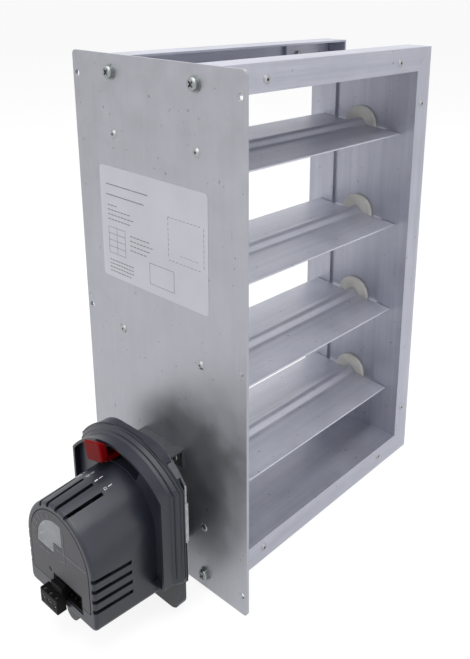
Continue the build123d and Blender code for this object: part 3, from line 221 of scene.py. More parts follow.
def outward(points, faces):
    """The faces turned so that the closed mesh's signed volume is positive."""
    volume = 0.0
    for face in faces:
        corners = points[list(face)]
        fan = np.cross(corners[1:-1], corners[2:])
        volume += float(np.sum(fan @ corners[0]))
    if volume < 0:
        return [tuple(face)[::-1] for face in faces]
    return [tuple(face) for face in faces]


def make_piece(name, points, faces, material, body, smooth=False):
    """A closed mesh piece from an array of points and a list of faces, riding on a body."""
    points = np.asarray(points, float)
    faces = outward(points, [tuple(map(int, face)) for face in faces])
    mesh = bpy.data.meshes.new(name)
    mesh.from_pydata(points.tolist(), [], faces)
    mesh.update()
    mesh.polygons.foreach_set("use_smooth", [smooth] * len(mesh.polygons))
    piece = bpy.data.objects.new(name, mesh)
    bpy.context.scene.collection.objects.link(piece)
    mesh.materials.append(material)
    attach(piece, body)
    return piece


def tube_faces(stations, ring, closed):
    """Quads along a row of equal rings of points, with end caps unless the row is a loop."""
    last = stations if closed else stations - 1
    i, j = np.meshgrid(np.arange(last), np.arange(ring), indexing="ij")
    i = i.ravel()
    j = j.ravel()
    after = (i + 1) % stations
    side = (j + 1) % ring
    quads = np.stack([i * ring + j, i * ring + side, after * ring + side, after * ring + j], 1)
    faces = [tuple(q) for q in quads]
    if not closed:
        faces.append(tuple(range(ring))[::-1])
        faces.append(tuple(range((stations - 1) * ring, stations * ring)))
    return faces


def stroke(path, width, height, closed=False):
    """A raised line on a surface's own two coordinates and its height.

    At each path point p with unit normal n, the section's corners are
    p - n width / 2 and p + n width / 2, at height 0 and at the given height.
    """
    path = np.asarray(path, float)
    if closed:
        run = np.roll(path, -1, 0) - np.roll(path, 1, 0)
    else:
        run = np.gradient(path, axis=0)
    run = run / np.maximum(np.hypot(run[:, 0], run[:, 1])[:, None], 1e-12)
    normal = np.stack([-run[:, 1], run[:, 0]], 1) * width / 2
    low = np.zeros((len(path), 1))
    high = low + height
    corners = [
        np.hstack([path - normal, low]),
        np.hstack([path + normal, low]),
        np.hstack([path + normal, high]),
        np.hstack([path - normal, high]),
    ]
    points = np.stack(corners, 1).reshape(-1, 3)
    return points, tube_faces(len(path), 4, closed)


def line(start, end, steps=2):
    """Evenly spaced points from one place to another."""
    share = np.linspace(0, 1, steps)[:, None]
    return np.asarray(start, float) * (1 - share) + np.asarray(end, float) * share


def loop(centre, radius, corners, turn=0.0):
    """A regular loop of points around a centre: centre + radius (cos a, sin a)."""
    angle = np.arange(corners) * 2 * math.pi / corners + math.radians(turn)
    return np.stack([centre[0] + radius * np.cos(angle), centre[1] + radius * np.sin(angle)], 1)


def join(parts):
    """Several point and face pairs as one."""
    points = []
    faces = []
    count = 0
    for part_points, part_faces in parts:
        faces += [tuple(int(v) + count for v in face) for face in outward(part_points, part_faces)]
        points.append(part_points)
        count += len(part_points)
    return np.concatenate(points), faces


def rounded_outline(width, height, radius, steps=8):
    """A rectangle with round corners: corner centre + radius (cos a, sin a), corner by corner."""
    points = []
    for quarter, (a, b) in enumerate(((1, 1), (-1, 1), (-1, -1), (1, -1))):
        angle = np.linspace(0, math.pi / 2, steps) + quarter * math.pi / 2
        x = a * (width / 2 - radius) + radius * np.cos(angle)
        y = b * (height / 2 - radius) + radius * np.sin(angle)
        points.append(np.stack([x, y], 1))
    return np.concatenate(points)


# Materials


def new_material(name):
    """An empty material with its shader, its node tree's nodes and links."""
    material = bpy.data.materials.new(name)
    material.use_nodes = True
    nodes = material.node_tree.nodes
    shader = next(n for n in nodes if n.type == "BSDF_PRINCIPLED")
    return material, shader, nodes, material.node_tree.links


def noise(nodes, links, stretch=(1, 1, 1), scale=1.0, detail=4.0, rough=0.6, turn=(0, 0, 0)):
    """A noise over the object's own coordinates, turned and stretched."""
    place = nodes.new("ShaderNodeTexCoord")
    mapping = nodes.new("ShaderNodeMapping")
    mapping.inputs["Rotation"].default_value = [math.radians(a) for a in turn]
    mapping.inputs["Scale"].default_value = stretch
    texture = nodes.new("ShaderNodeTexNoise")
    texture.inputs["Scale"].default_value = scale
    texture.inputs["Detail"].default_value = detail
    texture.inputs["Roughness"].default_value = rough
    links.new(place.outputs["Object"], mapping.inputs["Vector"])
    links.new(mapping.outputs["Vector"], texture.inputs["Vector"])
    return texture.outputs["Fac"]


def remap(nodes, links, value, span, reach):
    """A value carried from one span to another and held inside it."""
    node = nodes.new("ShaderNodeMapRange")
    node.inputs["From Min"].default_value = span[0]
    node.inputs["From Max"].default_value = span[1]
    node.inputs["To Min"].default_value = reach[0]
    node.inputs["To Max"].default_value = reach[1]
    links.new(value, node.inputs["Value"])
    return node.outputs["Result"]


def tint(nodes, links, factor, dark, light):
    """A colour between two, by a factor. Either colour may be another tint."""
    node = nodes.new("ShaderNodeMix")
    node.data_type = "RGBA"
    links.new(factor, node.inputs["Factor"])
    for colour, key in ((dark, "A"), (light, "B")):
        socket = next(s for s in node.inputs if s.name == key and s.type == "RGBA")
        if isinstance(colour, bpy.types.NodeSocket):
            links.new(colour, socket)
        else:
            socket.default_value = (*colour, 1)
    return next(s for s in node.outputs if s.type == "RGBA")


def blend_values(nodes, links, first, second, share):
    """Two values mixed by a share."""
    node = nodes.new("ShaderNodeMix")
    node.inputs["Factor"].default_value = share
    links.new(first, node.inputs["A"])
    links.new(second, node.inputs["B"])
    return node.outputs["Result"]


def bump(nodes, links, shader, heights):
    """Bumps laid over each other, each from a height, a strength and a distance."""
    under = None
    for height, strength, distance in heights:
        node = nodes.new("ShaderNodeBump")
        node.inputs["Strength"].default_value = strength
        node.inputs["Distance"].default_value = distance
        links.new(height, node.inputs["Height"])
        if under is not None:
            links.new(under, node.inputs["Normal"])
        under = node.outputs["Normal"]
    links.new(under, shader.inputs["Normal"])


def mill_aluminium(name, along, dark, light, roughness, lines, metallic, scratches=0.3):
    """Mill finish aluminium.

    Fine die lines and wider streaks run along the extrusion, over a soft mottle. Short thin
    scratches cross them, small dark specks lie between, and the sheet is a little wavy.
    """
    material, shader, nodes, links = new_material(name)
    shader.inputs["Metallic"].default_value = metallic
    fine = noise(nodes, links, along, scale=1500, detail=3, rough=0.6)
    streak = noise(nodes, links, along, scale=190, detail=2, rough=0.5)
    mottle = noise(nodes, links, scale=38, detail=6, rough=0.65)
    wave = noise(nodes, links, scale=14, detail=1, rough=0.4)
    scratch = noise(nodes, links, (1, 0.07, 1), scale=900, detail=1, rough=0.5, turn=(38, 0, 25))
    speck = noise(nodes, links, scale=330, detail=1, rough=0.4)
    die = blend_values(nodes, links, fine, streak, 0.5)
    tone = blend_values(nodes, links, mottle, die, lines)
    colour = tint(nodes, links, remap(nodes, links, tone, (0.38, 0.62), (0, 1)), dark, light)
    scratch_share = remap(nodes, links, scratch, (0.74, 0.79), (0, scratches))
    colour = tint(nodes, links, scratch_share, colour, SCRATCH_COLOUR)
    speck_share = remap(nodes, links, speck, (0.745, 0.785), (0, SPECK_STRENGTH))
    colour = tint(nodes, links, speck_share, colour, SPECK_COLOUR)
    links.new(colour, shader.inputs["Base Color"])
    gloss = remap(nodes, links, mottle, (0.3, 0.7), (roughness - 0.06, roughness + 0.08))
    links.new(gloss, shader.inputs["Roughness"])
    heights = ((wave, 0.15, 0.5 * MM), (streak, 0.2, 0.05 * MM), (fine, 0.15, 0.02 * MM))
    bump(nodes, links, shader, heights)
    return material


def moulded_plastic(name, colour, roughness, grain=0.08, specular=0.3):
    """Moulded plastic with a fine even grain, a faint change of tone and a few rubbed spots."""
    material, shader, nodes, links = new_material(name)
    shader.inputs["Specular IOR Level"].default_value = specular
    tone = noise(nodes, links, scale=45, detail=4, rough=0.55)
    rub = noise(nodes, links, (1, 0.3, 1), scale=260, detail=2, rough=0.5)
    grains = noise(nodes, links, scale=2400, detail=2, rough=0.5)
    dark = [c * 0.88 for c in colour]
    light = [min(c * 1.12, 1) for c in colour]
    rubbed = [min(c * 1.8 + 0.01, 1) for c in colour]
    paint = tint(nodes, links, remap(nodes, links, tone, (0.35, 0.65), (0, 1)), dark, light)
    rub_share = remap(nodes, links, rub, (0.70, 0.76), (0, 0.25))
    links.new(tint(nodes, links, rub_share, paint, rubbed), shader.inputs["Base Color"])
    gloss = remap(nodes, links, tone, (0.3, 0.7), (roughness - 0.05, roughness + 0.05))
    links.new(gloss, shader.inputs["Roughness"])
    bump(nodes, links, shader, ((grains, grain, 0.05 * MM),))
    return material


def plated_steel(name, colour, roughness):
    """Plated metal with a slight change of gloss and tone."""
    material, shader, nodes, links = new_material(name)
    shader.inputs["Metallic"].default_value = 1.0
    spots = noise(nodes, links, scale=420, detail=4, rough=0.6)
    dark = [c * 0.85 for c in colour]
    share = remap(nodes, links, spots, (0.35, 0.65), (0, 1))
    links.new(tint(nodes, links, share, dark, colour), shader.inputs["Base Color"])
    gloss = remap(nodes, links, spots, (0.3, 0.7), (roughness - 0.08, roughness + 0.08))
    links.new(gloss, shader.inputs["Roughness"])
    return material


def clear_pane():
    """A thin clear pane over the disc, with a faint grey tone and a haze from handling."""
    material, shader, nodes, links = new_material("clear_pane")
    haze = noise(nodes, links, scale=120, detail=3, rough=0.5)
    share = remap(nodes, links, haze, (0.35, 0.65), (0, 1))
    links.new(tint(nodes, links, share, PANE_DARK, PANE_LIGHT), shader.inputs["Base Color"])
    gloss = remap(nodes, links, haze, (0.3, 0.7), (0.16, 0.26))
    links.new(gloss, shader.inputs["Roughness"])
    shader.inputs["Alpha"].default_value = PANE_COVER
    return material


def bracket_with_painted_shade():
    """Folded steel: the face is darkened with painted shade and the tabs keep the steel's bright
    colour, told apart by the distance from the middle.
    """
    material, shader, nodes, links = new_material("bracket_metal_with_painted_shade")
    shader.inputs["Metallic"].default_value = 0.8
    place = nodes.new("ShaderNodeTexCoord")
    split = nodes.new("ShaderNodeSeparateXYZ")
    size = nodes.new("ShaderNodeMath")
    size.operation = "ABSOLUTE"
    links.new(place.outputs["Object"], split.inputs["Vector"])
    links.new(split.outputs["Y"], size.inputs[0])
    tab = remap(nodes, links, size.outputs[0], BRACKET_TAB_START, (0, 1))
    spots = noise(nodes, links, scale=300, detail=4, rough=0.6)
    share = remap(nodes, links, spots, (0.35, 0.65), (0, 1))
    # Painted shade: the bracket's middle is darkened as though it lay in the cover's shadow
    painted_shade = tint(nodes, links, share, *BRACKET_PAINTED_SHADE)
    bright = tint(nodes, links, share, *BRACKET_BRIGHT)
    links.new(tint(nodes, links, tab, painted_shade, bright), shader.inputs["Base Color"])
    links.new(remap(nodes, links, share, (0, 1), (0.45, 0.55)), shader.inputs["Roughness"])
    return material


def label_film():
    """Satin pale label film, a little uneven in tone, with a fine paper grain."""
    material, shader, nodes, links = new_material("label_film")
    tone = noise(nodes, links, scale=26, detail=4, rough=0.55)
    grain = noise(nodes, links, scale=1400, detail=2, rough=0.5)
    share = remap(nodes, links, tone, (0.35, 0.65), (0, 1))
    links.new(tint(nodes, links, share, FILM_DARK, FILM_LIGHT), shader.inputs["Base Color"])
    links.new(remap(nodes, links, tone, (0.3, 0.7), (0.35, 0.5)), shader.inputs["Roughness"])
    bump(nodes, links, shader, ((grain, 0.08, 0.03 * MM),))
    return material


def ink(name, colour):
    """Printed ink, slightly uneven."""
    material, shader, nodes, links = new_material(name)
    tone = noise(nodes, links, scale=700, detail=2, rough=0.5)
    share = remap(nodes, links, tone, (0.35, 0.7), (0, 1))
    pale = [min(c * 1.25 + 0.02, 1) for c in colour]
    links.new(tint(nodes, links, share, colour, pale), shader.inputs["Base Color"])
    shader.inputs["Roughness"].default_value = 0.6
    return material


ALONG_X = (0.015, 1, 1)
ALONG_Z = (1, 1, 0.015)
ROLLED_ALONG_Z = (1, 1, 0.05)

plate_metal = mill_aluminium(
    "plate_metal",
    ROLLED_ALONG_Z,
    dark=(0.375, 0.38, 0.415),
    light=(0.425, 0.43, 0.468),
    roughness=0.42,
    lines=0.35,
    metallic=0.9,
    scratches=0.12,
)
RAIL_FINISH = {
    "dark": (0.40, 0.41, 0.475),
    "light": (0.50, 0.51, 0.58),
    "roughness": 0.40,
    "lines": 0.65,
    "metallic": 0.68,
}
rail_x_metal = mill_aluminium("rail_metal_across", ALONG_X, **RAIL_FINISH)
rail_z_metal = mill_aluminium("rail_metal_upright", ALONG_Z, **RAIL_FINISH)
blade_metal = mill_aluminium(
    "blade_metal",
    ALONG_X,
    dark=(0.51, 0.52, 0.585),
    light=(0.62, 0.63, 0.695),
    roughness=0.44,
    lines=0.6,
    metallic=0.6,
)
rivet_metal = plated_steel("rivet_metal", colour=(0.42, 0.42, 0.43), roughness=0.42)
steel_metal = plated_steel("plated_steel", colour=(0.34, 0.36, 0.36), roughness=0.42)
dark_steel = plated_steel("dark_steel", colour=(0.10, 0.10, 0.11), roughness=0.4)
brass_metal = plated_steel("brass_metal", colour=(0.72, 0.52, 0.2), roughness=0.28)
spring_metal = plated_steel("spring_metal", colour=(0.12, 0.14, 0.2), roughness=0.3)
nylon = moulded_plastic("nylon", (0.82, 0.80, 0.73), roughness=0.5, grain=0.03)
housing = moulded_plastic("housing_plastic", (0.017, 0.019, 0.029), roughness=0.34, specular=0.47)
panel = moulded_plastic("panel_plastic", (0.060, 0.059, 0.067), roughness=0.5)
black = moulded_plastic("black_plastic", (0.0025, 0.0025, 0.003), roughness=0.5, specular=0.12)
red = moulded_plastic("red_plastic", (0.17, 0.002, 0.003), roughness=0.45, grain=0.03, specular=0.06)
gear_plastic = moulded_plastic("gear_plastic", (0.72, 0.71, 0.66), roughness=0.4, grain=0.02)
disc_plastic = moulded_plastic("disc_plastic", (0.34, 0.36, 0.38), roughness=0.4, grain=0.02)
board_resist = moulded_plastic("board_resist", (0.012, 0.09, 0.03), roughness=0.3, grain=0.02)
lamp_plastic = moulded_plastic("lamp_plastic", (0.01, 0.01, 0.01), roughness=0.15, grain=0.0)
# The raised panel lines are the panel's plastic, coloured lighter as a painted highlight
painted_highlight_line = moulded_plastic("painted_highlight_line", (0.17, 0.17, 0.18), roughness=0.45)
pane = clear_pane()
bracket_metal_with_painted_shade = bracket_with_painted_shade()
film = label_film()
grey_ink = ink("grey_ink", (0.16, 0.165, 0.18))
white_ink = ink("white_ink", (0.62, 0.64, 0.68))

SLOT_MATERIALS = {
    "blade_aluminium": blade_metal,
    "rivet_aluminium": rivet_metal,
    "zinc_steel": steel_metal,
    "nylon": nylon,
    "housing_plastic": housing,
    "panel_plastic": panel,
    "window": pane,
    "lamp": lamp_plastic,
    "black_plastic": black,
    "red_plastic": red,
    "gear_plastic": gear_plastic,
    "disc_plastic": disc_plastic,
    "brass": brass_metal,
    "board": board_resist,
    "spring_steel": spring_metal,
}
NODE_MATERIALS = {
    "mounting_plate": plate_metal,
    "frame_rail_top": rail_x_metal,
    "frame_rail_bottom": rail_x_metal,
    "frame_rail_near": rail_z_metal,
    "frame_rail_far": rail_z_metal,
    "corner_keys_front": rail_x_metal,
    "corner_keys_rear": rail_x_metal,
    "actuator_bracket": bracket_metal_with_painted_shade,
}


def soften(node, width):
    """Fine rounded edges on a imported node: welded, cleared of flat triangles, then bevelled."""
    weld = node.modifiers.new("weld", "WELD")
    weld.merge_threshold = WELD_DISTANCE
    flat = node.modifiers.new("flat", "DECIMATE")
    flat.decimate_type = "DISSOLVE"
    flat.angle_limit = math.radians(FLAT_ANGLE)
    edge = node.modifiers.new("edge", "BEVEL")
    edge.width = width
    edge.segments = 3 if width > WIDE_EDGE else 2
    edge.limit_method = "ANGLE"
    edge.angle_limit = math.radians(EDGE_ANGLE)
    weight = node.modifiers.new("weight", "WEIGHTED_NORMAL")
    weight.keep_sharp = True
    node.data.polygons.foreach_set("use_smooth", [True] * len(node.data.polygons))


SLOTS = {p["node"]: p["material_slot"] for p in frame["record"]["subparts"]}
for name, node in NODES.items():
    material = NODE_MATERIALS.get(name) or SLOT_MATERIALS[SLOTS[name]]
    node.data.materials.clear()
    node.data.materials.append(material)
    if not name.startswith("blade_"):
        soften(node, EDGE_WIDTHS.get(SLOTS[name], OTHER_EDGE_WIDTH))


# Blades


def blade_height(y):
    """Half the blade's thickness at a distance y from its middle.

    It is the largest of three: the sheet, ending in a half circle; the straight ramp at the
    tube's foot; and the tube's own circle.
    """
    y = np.abs(y)
    half = BLADE_SHEET / 2
    into_end = np.clip(y - (BLADE_CHORD / 2 - half), 0, half)
    sheet = np.sqrt(np.maximum(half**2 - into_end**2, 0))
    tube = np.sqrt(np.maximum(BLADE_TUBE**2 - y**2, 0))
    up = np.clip((BLADE_RAMP - y) / (BLADE_RAMP - BLADE_RAMP_TOP), 0, 1)
    ramp = np.where(y < BLADE_RAMP, half + up * (BLADE_RAMP_HEIGHT - half), 0)
    ramp = np.where(y < BLADE_RAMP_TOP, 0, ramp)
    return np.maximum(np.maximum(sheet, ramp), tube)


def blade_outline():
    """The blade's closed outline, upper side from front to rear, then the lower side back."""
    half = BLADE_SHEET / 2
    end = BLADE_CHORD / 2 - half + half * np.sin(np.linspace(math.pi / 2, 0, 6))
    flat = np.linspace(BLADE_CHORD / 2 - half, BLADE_RAMP, 8)[1:]
    ramp = np.linspace(BLADE_RAMP, BLADE_RAMP_TOP, 4)[1:]
    arc = BLADE_RAMP_TOP * np.sin(np.linspace(math.pi / 2, 0, 9))[1:]
    one_side = np.concatenate([end, flat, ramp, arc])
    y = np.concatenate([-one_side, one_side[::-1][1:]])
    top = np.stack([y, blade_height(y)], 1)
    bottom = np.stack([y, -blade_height(y)], 1)[::-1][1:-1]
    return np.concatenate([top, bottom])


def blade(number, body):
    """One blade: its outline and its bore, carried from end to end and turned to its tilt."""
    low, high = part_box(f"blade_{number}")
    z = (low.z + high.z) / 2
    outer = blade_outline()
    angle = np.arctan2(outer[:, 1], outer[:, 0])
    bore = BLADE_BORE * np.stack([np.cos(angle), np.sin(angle)], 1)
    rings = ((outer, low.x), (outer, high.x), (bore, high.x), (bore, low.x))
    tilt = math.radians(BLADE_TILT)
    points = []
    for ring, x in rings:
        y = ring[:, 0] * math.cos(tilt) - ring[:, 1] * math.sin(tilt)
        up = ring[:, 0] * math.sin(tilt) + ring[:, 1] * math.cos(tilt)
        points.append(np.stack([np.full(len(ring), x), y, z + up], 1))
    faces = tube_faces(len(rings), len(outer), True)
    points = np.concatenate(points)
    name = f"blade_extrusion_{number}"
    piece = make_piece(name, points, faces, blade_metal, body, smooth=True)
    sharp = piece.modifiers.new("edges", "EDGE_SPLIT")
    sharp.split_angle = math.radians(BLADE_SHARP_ANGLE)
    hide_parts(f"blade_{number}")


for number in (1, 2, 3):
    blade(number, f"blade_set_{number}")
blade(4, "drive_set")


# Label


def on_plate(points):
    """From the label's own width, height and lift to its place on the plate.

    The label's width runs against Y, so that it reads from outside, and it is turned a little.
    """
    turn = math.radians(LABEL_TURN)
    across = points[:, 0] * math.cos(turn) - points[:, 1] * math.sin(turn)
    up = points[:, 0] * math.sin(turn) + points[:, 1] * math.cos(turn)
    x = PLATE_FACE_X - points[:, 2]
    return np.stack([x, LABEL_MIDDLE_Y - across, LABEL_MIDDLE_Z + up], 1)


def label_sheet():
    """The blank label: its outline with round corners, carried from the plate to its thickness."""
    outline = rounded_outline(LABEL_WIDTH, LABEL_HEIGHT, LABEL_CORNER)
    count = len(outline)
    low = np.hstack([outline, np.zeros((count, 1))])
    high = np.hstack([outline, np.full((count, 1), LABEL_THICKNESS)])
    faces = tube_faces(2, count, False)
    make_piece("plate_label", on_plate(np.concatenate([low, high])), faces, film, "frame")


def on_label(across, down):
    """A place on the label: half its size from the middle to the corner, then across and down."""
    return np.array([across * MM - LABEL_WIDTH / 2, LABEL_HEIGHT / 2 - down * MM])


def solid_line(start, end, width=PRINT_LINE):
    """One printed line between two places on the label."""
    return stroke(line(on_label(*start), on_label(*end)), width, PRINT_HEIGHT)


def dashed_line(start, end, dash, gap, width=PRINT_LINE):
    """As many dashes as fit: dash number i starts i times a dash and a gap along the line."""
    first = on_label(*start)
    way = on_label(*end) - first
    length = float(np.hypot(*way))
    pitch = (dash + gap) * MM
    count = max(int((length + gap * MM) / pitch), 1)
    step = way / length
    parts = []
    for i in range(count):
        place = first + step * i * pitch
        parts.append(stroke(line(place, place + step * dash * MM), width, PRINT_HEIGHT))
    return parts


def field_sides(field):
    """The four sides of a field, from corner to corner."""
    left, right, top, bottom = field
    corners = ((left, top), (right, top), (right, bottom), (left, bottom))
    return [(corners[i], corners[(i + 1) % 4]) for i in range(4)]


def ruled_table():
    """The table's sides, its rows at even heights and one line down its middle."""
    left, right, top, bottom = TABLE_FIELD
    parts = [solid_line(*side) for side in field_sides(TABLE_FIELD)]
    for row in range(1, TABLE_ROWS):
        down = top + (bottom - top) * row / TABLE_ROWS
        parts.append(solid_line((left, down), (right, down)))
    middle = (left + right) / 2
    parts.append(solid_line((middle, top), (middle, bottom)))
    return parts


def label_rules():
    """Plain ruled fields in grey: lines, dashed rows, a table, a dashed field and an empty one."""
    parts = ruled_table()
    for left, right, down in WRITING_LINES:
        parts.append(solid_line((left, down), (right, down), 2 * PRINT_LINE))
    for left, first, spacing, ends, dash, gap in DASHED_ROWS:
        for row, right in enumerate(ends):
            down = first + spacing * row
            parts += dashed_line((left, down), (right, down), dash, gap, 2 * PRINT_LINE)
    left, right, top, bottom = DASHED_FIELD
    for down in (top, bottom):
        parts += dashed_line((left, down), (right, down), FIELD_DASH, FIELD_GAP)
    for across in (left, right):
        parts += dashed_line((across, top), (across, bottom), FIELD_DASH, FIELD_GAP)
    left, right, down = FOOT_LINE
    parts += dashed_line((left, down), (right, down), FOOT_DASH, FIELD_GAP)
    parts += [solid_line(*side) for side in field_sides(EMPTY_FIELD)]
    points, faces = join(parts)
    points = points + np.array([0, 0, LABEL_THICKNESS])
    make_piece("label_rules", on_plate(points), faces, grey_ink, "frame")


label_sheet()
label_rules()


# Marks on the cover


def on_drum(points):
    """From a place along X, an arc length and a height to the tapered cover's round top.

    The cover's radius and its centre's height go in a straight line from the hood to the
    front: r = r0 + (r1 - r0) s and c = c1 s, where s is the share of the way.
    """
    x = points[:, 0]
    share = (x - DRUM_BACK_X) / (DRUM_FRONT_X - DRUM_BACK_X)
    radius = DRUM_BACK_RADIUS + (DRUM_FRONT_RADIUS - DRUM_BACK_RADIUS) * share + points[:, 2]
    angle = points[:, 1] / DRUM_BACK_RADIUS
    y = radius * np.sin(angle)
    up = DRUM_FRONT_DROP * share + radius * np.cos(angle)
    return np.stack([x, y, DRIVE_Z + up], 1)


def range_marks():
    """A dash and a small ring, bar or square for each place of the lever, printed in white."""
    parts = []
    for i, angle in enumerate(MARK_ANGLES):
        arc = math.radians(angle) * DRUM_BACK_RADIUS
        end = MARK_START_X - MARK_DASH
        parts.append(stroke(line((MARK_START_X, arc), (end, arc), 4), MARK_WIDTH, 2 * PRINT_HEIGHT))
        centre = (end - MARK_GAP - MARK_SIGN, arc)
        if i == BAR_MARK:
            bar = line((centre[0] - MARK_SIGN, arc), (centre[0] + MARK_SIGN, arc), 3)
            parts.append(stroke(bar, 2 * MARK_WIDTH, 2 * PRINT_HEIGHT))
        else:
            square = i == SQUARE_MARK
            corners = 4 if square else RING_CORNERS
            sign = loop(centre, MARK_SIGN, corners, 45 if square else 0)
            parts.append(stroke(sign, 0.7 * MARK_WIDTH, 2 * PRINT_HEIGHT, True))
    points, faces = join(parts)
    make_piece("range_marks", on_drum(points), faces, white_ink, "frame")


range_marks()


# Beads on the cover's flange


def arch_path(arch, steps=48):
    """Up one side, over the round top and down again, and the outward direction at each point.

    The top is centre + radius (sin a, cos a) out to the half width.
    """
    radius, centre, half = arch
    reach = math.asin(half / radius)
    angle = np.linspace(-reach, reach, steps)
    out = np.stack([np.sin(angle), np.cos(angle)], 1)
    top = radius * out + np.array([0, centre])
    shoulder = top[0, 1] - 1 * MM
    left = line((-half, BEAD_FOOT), (-half, shoulder), 6)
    right = line((half, shoulder), (half, BEAD_FOOT), 6)
    sides = np.tile([-1.0, 0.0], (6, 1))
    return np.concatenate([left, top, right]), np.concatenate([sides, out, -sides])


def flange_beads():
    """Three beads round the flange, each a ridge with a narrow top.

    A bead's line lies between the rim's arch and the hood's arch, by its share of the way
    along X, and its section stands on that line along the outward direction.
    """
    rim, rim_out = arch_path(RIM_ARCH)
    hood, hood_out = arch_path(HOOD_ARCH)
    parts = []
    for x in BEAD_X:
        share = min(max((RIM_X - x) / (RIM_X - HOOD_X), 0), 1)
        path = rim * (1 - share) + hood * share
        out = rim_out * (1 - share) + hood_out * share
        corners = []
        for across, lift in BEAD_SECTION:
            place = path + out * lift
            wide = np.full(len(path), x + across * BEAD_WIDTH)
            corners.append(np.stack([wide, place[:, 0], DRIVE_Z + place[:, 1]], 1))
        points = np.stack(corners, 1).reshape(-1, 3)
        parts.append((points, tube_faces(len(path), 4, False)))
    points, faces = join(parts)
    make_piece("flange_beads", points, faces, housing, "frame")


flange_beads()


# Moulded lines on the panel


def on_panel(points):
    """From Y, height over the drive's axis and lift to the panel's face."""
    return np.stack([PANEL_FACE_X - points[:, 2], points[:, 0], DRIVE_Z + points[:, 1]], 1)


def panel_lines():
    """Raised lines on the panel: ticks along rays from the window's centre, and straight lines. Their
    lighter colour is a painted highlight.
    """
    parts = []
    for angle in TICK_ANGLES:
        direction = np.array([math.sin(math.radians(angle)), math.cos(math.radians(angle))])
        centre = np.array([0, WINDOW_CENTRE])
        path = line(centre + TICK_INNER * direction, centre + TICK_OUTER * direction)
        parts.append(stroke(path, PANEL_LINE_WIDTH, PANEL_LINE_HEIGHT))
    for start, end in PANEL_LINES:
        parts.append(stroke(line(start, end), PANEL_LINE_WIDTH, PANEL_LINE_HEIGHT))
    points, faces = join(parts)
    make_piece("panel_lines", on_panel(points), faces, painted_highlight_line, "frame")


panel_lines()


# Plug terminals


def plug_screws():
    """Three screw heads in the plug's wells: round outlines carried up to low discs."""
    count = PLUG_SCREW_CORNERS
    parts = []
    for y in PLUG_SCREW_Y:
        rim = loop((PLUG_SCREW_X, y), PLUG_SCREW_RADIUS, count)
        top = DRIVE_Z + PLUG_SCREW_TOP
        low = np.hstack([rim, np.full((count, 1), top - PLUG_SCREW_HEIGHT)])
        high = np.hstack([rim, np.full((count, 1), top)])
        parts.append((np.concatenate([low, high]), tube_faces(2, count, False)))
    points, faces = join(parts)
    piece = make_piece("plug_screws", points, faces, dark_steel, "plug_body")
    edge = piece.modifiers.new("edge", "BEVEL")
    edge.width = PLUG_SCREW_EDGE
    edge.segments = 2


def plug_cages():
    """Three square sleeves in the wire entries, each an outer and an inner square carried along X."""
    parts = []
    for y in PLUG_SCREW_Y:
        centre = (y, DRIVE_Z + PLUG_WIRE_V)
        outer = loop(centre, PLUG_CAGE_HALF * math.sqrt(2), 4, 45)
        inner = loop(centre, (PLUG_CAGE_HALF - PLUG_CAGE_WALL) * math.sqrt(2), 4, 45)
        rings = []
        for ring, x in ((outer, 0), (outer, 1), (inner, 1), (inner, 0)):
            rings.append(np.hstack([np.full((4, 1), PLUG_CAGE_X[x]), ring]))
        parts.append((np.concatenate(rings), tube_faces(4, 4, True)))
    points, faces = join(parts)
    make_piece("plug_cages", points, faces, steel_metal, "plug_body")


plug_screws()
plug_cages()


# Light, floor and camera


def area_light(name, place, aim, size, power, colour):
    """A square soft light at a place, aimed at a point."""
    light = bpy.data.lights.new(name, "AREA")
    light.shape = "SQUARE"
    light.size = size
    light.energy = power
    light.color = colour
    lamp = bpy.data.objects.new(name, light)
    lamp.location = place
    lamp.rotation_euler = (Vector(aim) - Vector(place)).to_track_quat("-Z", "Y").to_euler()
    bpy.context.scene.collection.objects.link(lamp)


def greatest(nodes, links, values):
    """The greatest of several values, each with its share."""
    best = None
    for value, share in values:
        part = nodes.new("ShaderNodeMath")
        part.operation = "MULTIPLY"
        part.inputs[1].default_value = share
        links.new(value, part.inputs[0])
        if best is None:
            best = part.outputs[0]
            continue
        node = nodes.new("ShaderNodeMath")
        node.operation = "MAXIMUM"
        links.new(best, node.inputs[0])
        links.new(part.outputs[0], node.inputs[1])
        best = node.outputs[0]
    return best


def studio():
    """A white surround for the camera and for gloss, a dimmer one for the light it gives."""
    world = bpy.data.worlds.new("studio")
    bpy.context.scene.world = world
    world.use_nodes = True
    nodes = world.node_tree.nodes
    links = world.node_tree.links
    back = next(n for n in nodes if n.type == "BACKGROUND")
    out = next(n for n in nodes if n.type == "OUTPUT_WORLD")
    back.inputs["Color"].default_value = (1, 1, 1, 1)
    back.inputs["Strength"].default_value = SURROUND_STRENGTH
    white = nodes.new("ShaderNodeBackground")
    white.inputs["Color"].default_value = (1, 1, 1, 1)
    white.inputs["Strength"].default_value = 1.0
    path = nodes.new("ShaderNodeLightPath")
    mix = nodes.new("ShaderNodeMixShader")
    rays = ("Is Camera Ray", "Is Glossy Ray", "Is Transmission Ray")
    share = greatest(nodes, links, [(path.outputs[ray], 1.0) for ray in rays])
    links.new(share, mix.inputs["Fac"])
    links.new(back.outputs[0], mix.inputs[1])
    links.new(white.outputs[0], mix.inputs[2])
    links.new(mix.outputs[0], out.inputs["Surface"])
    area_light("key", *KEY_LIGHT)
    area_light("overhead", *OVERHEAD_LIGHT)
    area_light("fill", *FILL_LIGHT)


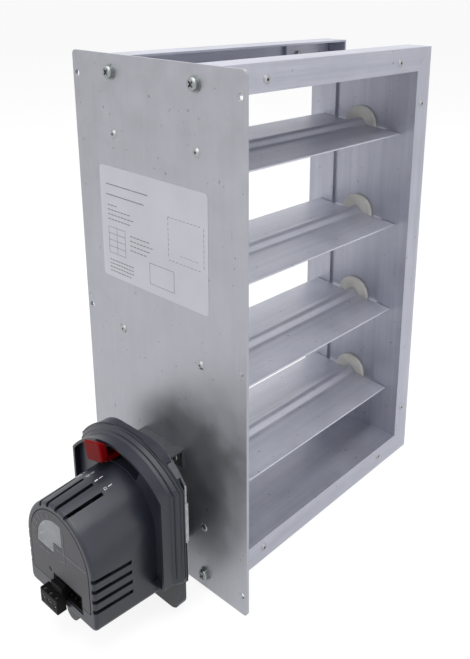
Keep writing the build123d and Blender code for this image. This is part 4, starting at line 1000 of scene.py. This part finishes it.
def floor():
    """A pale floor just under the plate's lower edge. Part of it glows, so its shadow is faint."""
    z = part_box("mounting_plate")[0].z - FLOOR_GAP
    side = FLOOR_SIDE
    points = [(-side, -side, z), (side, -side, z), (side, side, z), (-side, side, z)]
    mesh = bpy.data.meshes.new("floor")
    mesh.from_pydata(points, [], [(0, 1, 2, 3)])
    ground = bpy.data.objects.new("floor", mesh)
    bpy.context.scene.collection.objects.link(ground)
    material, shader, nodes, links = new_material("floor_paint")
    shader.inputs["Base Color"].default_value = (*FLOOR_COLOUR, 1)
    shader.inputs["Roughness"].default_value = FLOOR_ROUGHNESS
    glow = nodes.new("ShaderNodeEmission")
    glow.inputs["Strength"].default_value = FLOOR_GLOW_STRENGTH
    path = nodes.new("ShaderNodeLightPath")
    mix = nodes.new("ShaderNodeMixShader")
    out = next(n for n in nodes if n.type == "OUTPUT_MATERIAL")
    shares = (
        (path.outputs["Is Camera Ray"], FLOOR_GLOW),
        (path.outputs["Is Glossy Ray"], FLOOR_GLOW_IN_GLOSS),
        (path.outputs["Is Transmission Ray"], FLOOR_GLOW_IN_GLOSS),
    )
    links.new(greatest(nodes, links, shares), mix.inputs["Fac"])
    links.new(shader.outputs[0], mix.inputs[1])
    links.new(glow.outputs[0], mix.inputs[2])
    links.new(mix.outputs[0], out.inputs["Surface"])
    mesh.materials.append(material)


def camera():
    """The photograph's camera. Its axes are worked out from azimuth, elevation and roll."""
    azimuth = math.radians(CAMERA_AZIMUTH)
    elevation = math.radians(CAMERA_ELEVATION)
    back = Vector(
        (
            math.sin(azimuth) * math.cos(elevation),
            -math.cos(azimuth) * math.cos(elevation),
            math.sin(elevation),
        )
    )
    right = (-back).cross(Vector((0, 0, 1))).normalized()
    up = right.cross(-back)
    roll = math.radians(CAMERA_ROLL)
    turned_right = math.cos(roll) * right + math.sin(roll) * up
    turned_up = math.cos(roll) * up - math.sin(roll) * right
    lens = bpy.data.cameras.new("camera")
    lens.sensor_width = SENSOR
    lens.lens = FOCAL_PIXELS * SENSOR / IMAGE_HEIGHT
    lens.shift_x = (IMAGE_WIDTH / 2 - PRINCIPAL_X) / IMAGE_HEIGHT
    lens.shift_y = (PRINCIPAL_Y - IMAGE_HEIGHT / 2) / IMAGE_HEIGHT
    lens.clip_start = 0.01
    eye = bpy.data.objects.new("camera", lens)
    basis = Matrix((turned_right, turned_up, back)).transposed().to_4x4()
    eye.matrix_world = Matrix.Translation(CAMERA_PLACE) @ basis
    bpy.context.scene.collection.objects.link(eye)
    bpy.context.scene.camera = eye


studio()
floor()
camera()
bpy.context.scene.view_settings.view_transform = "Standard"
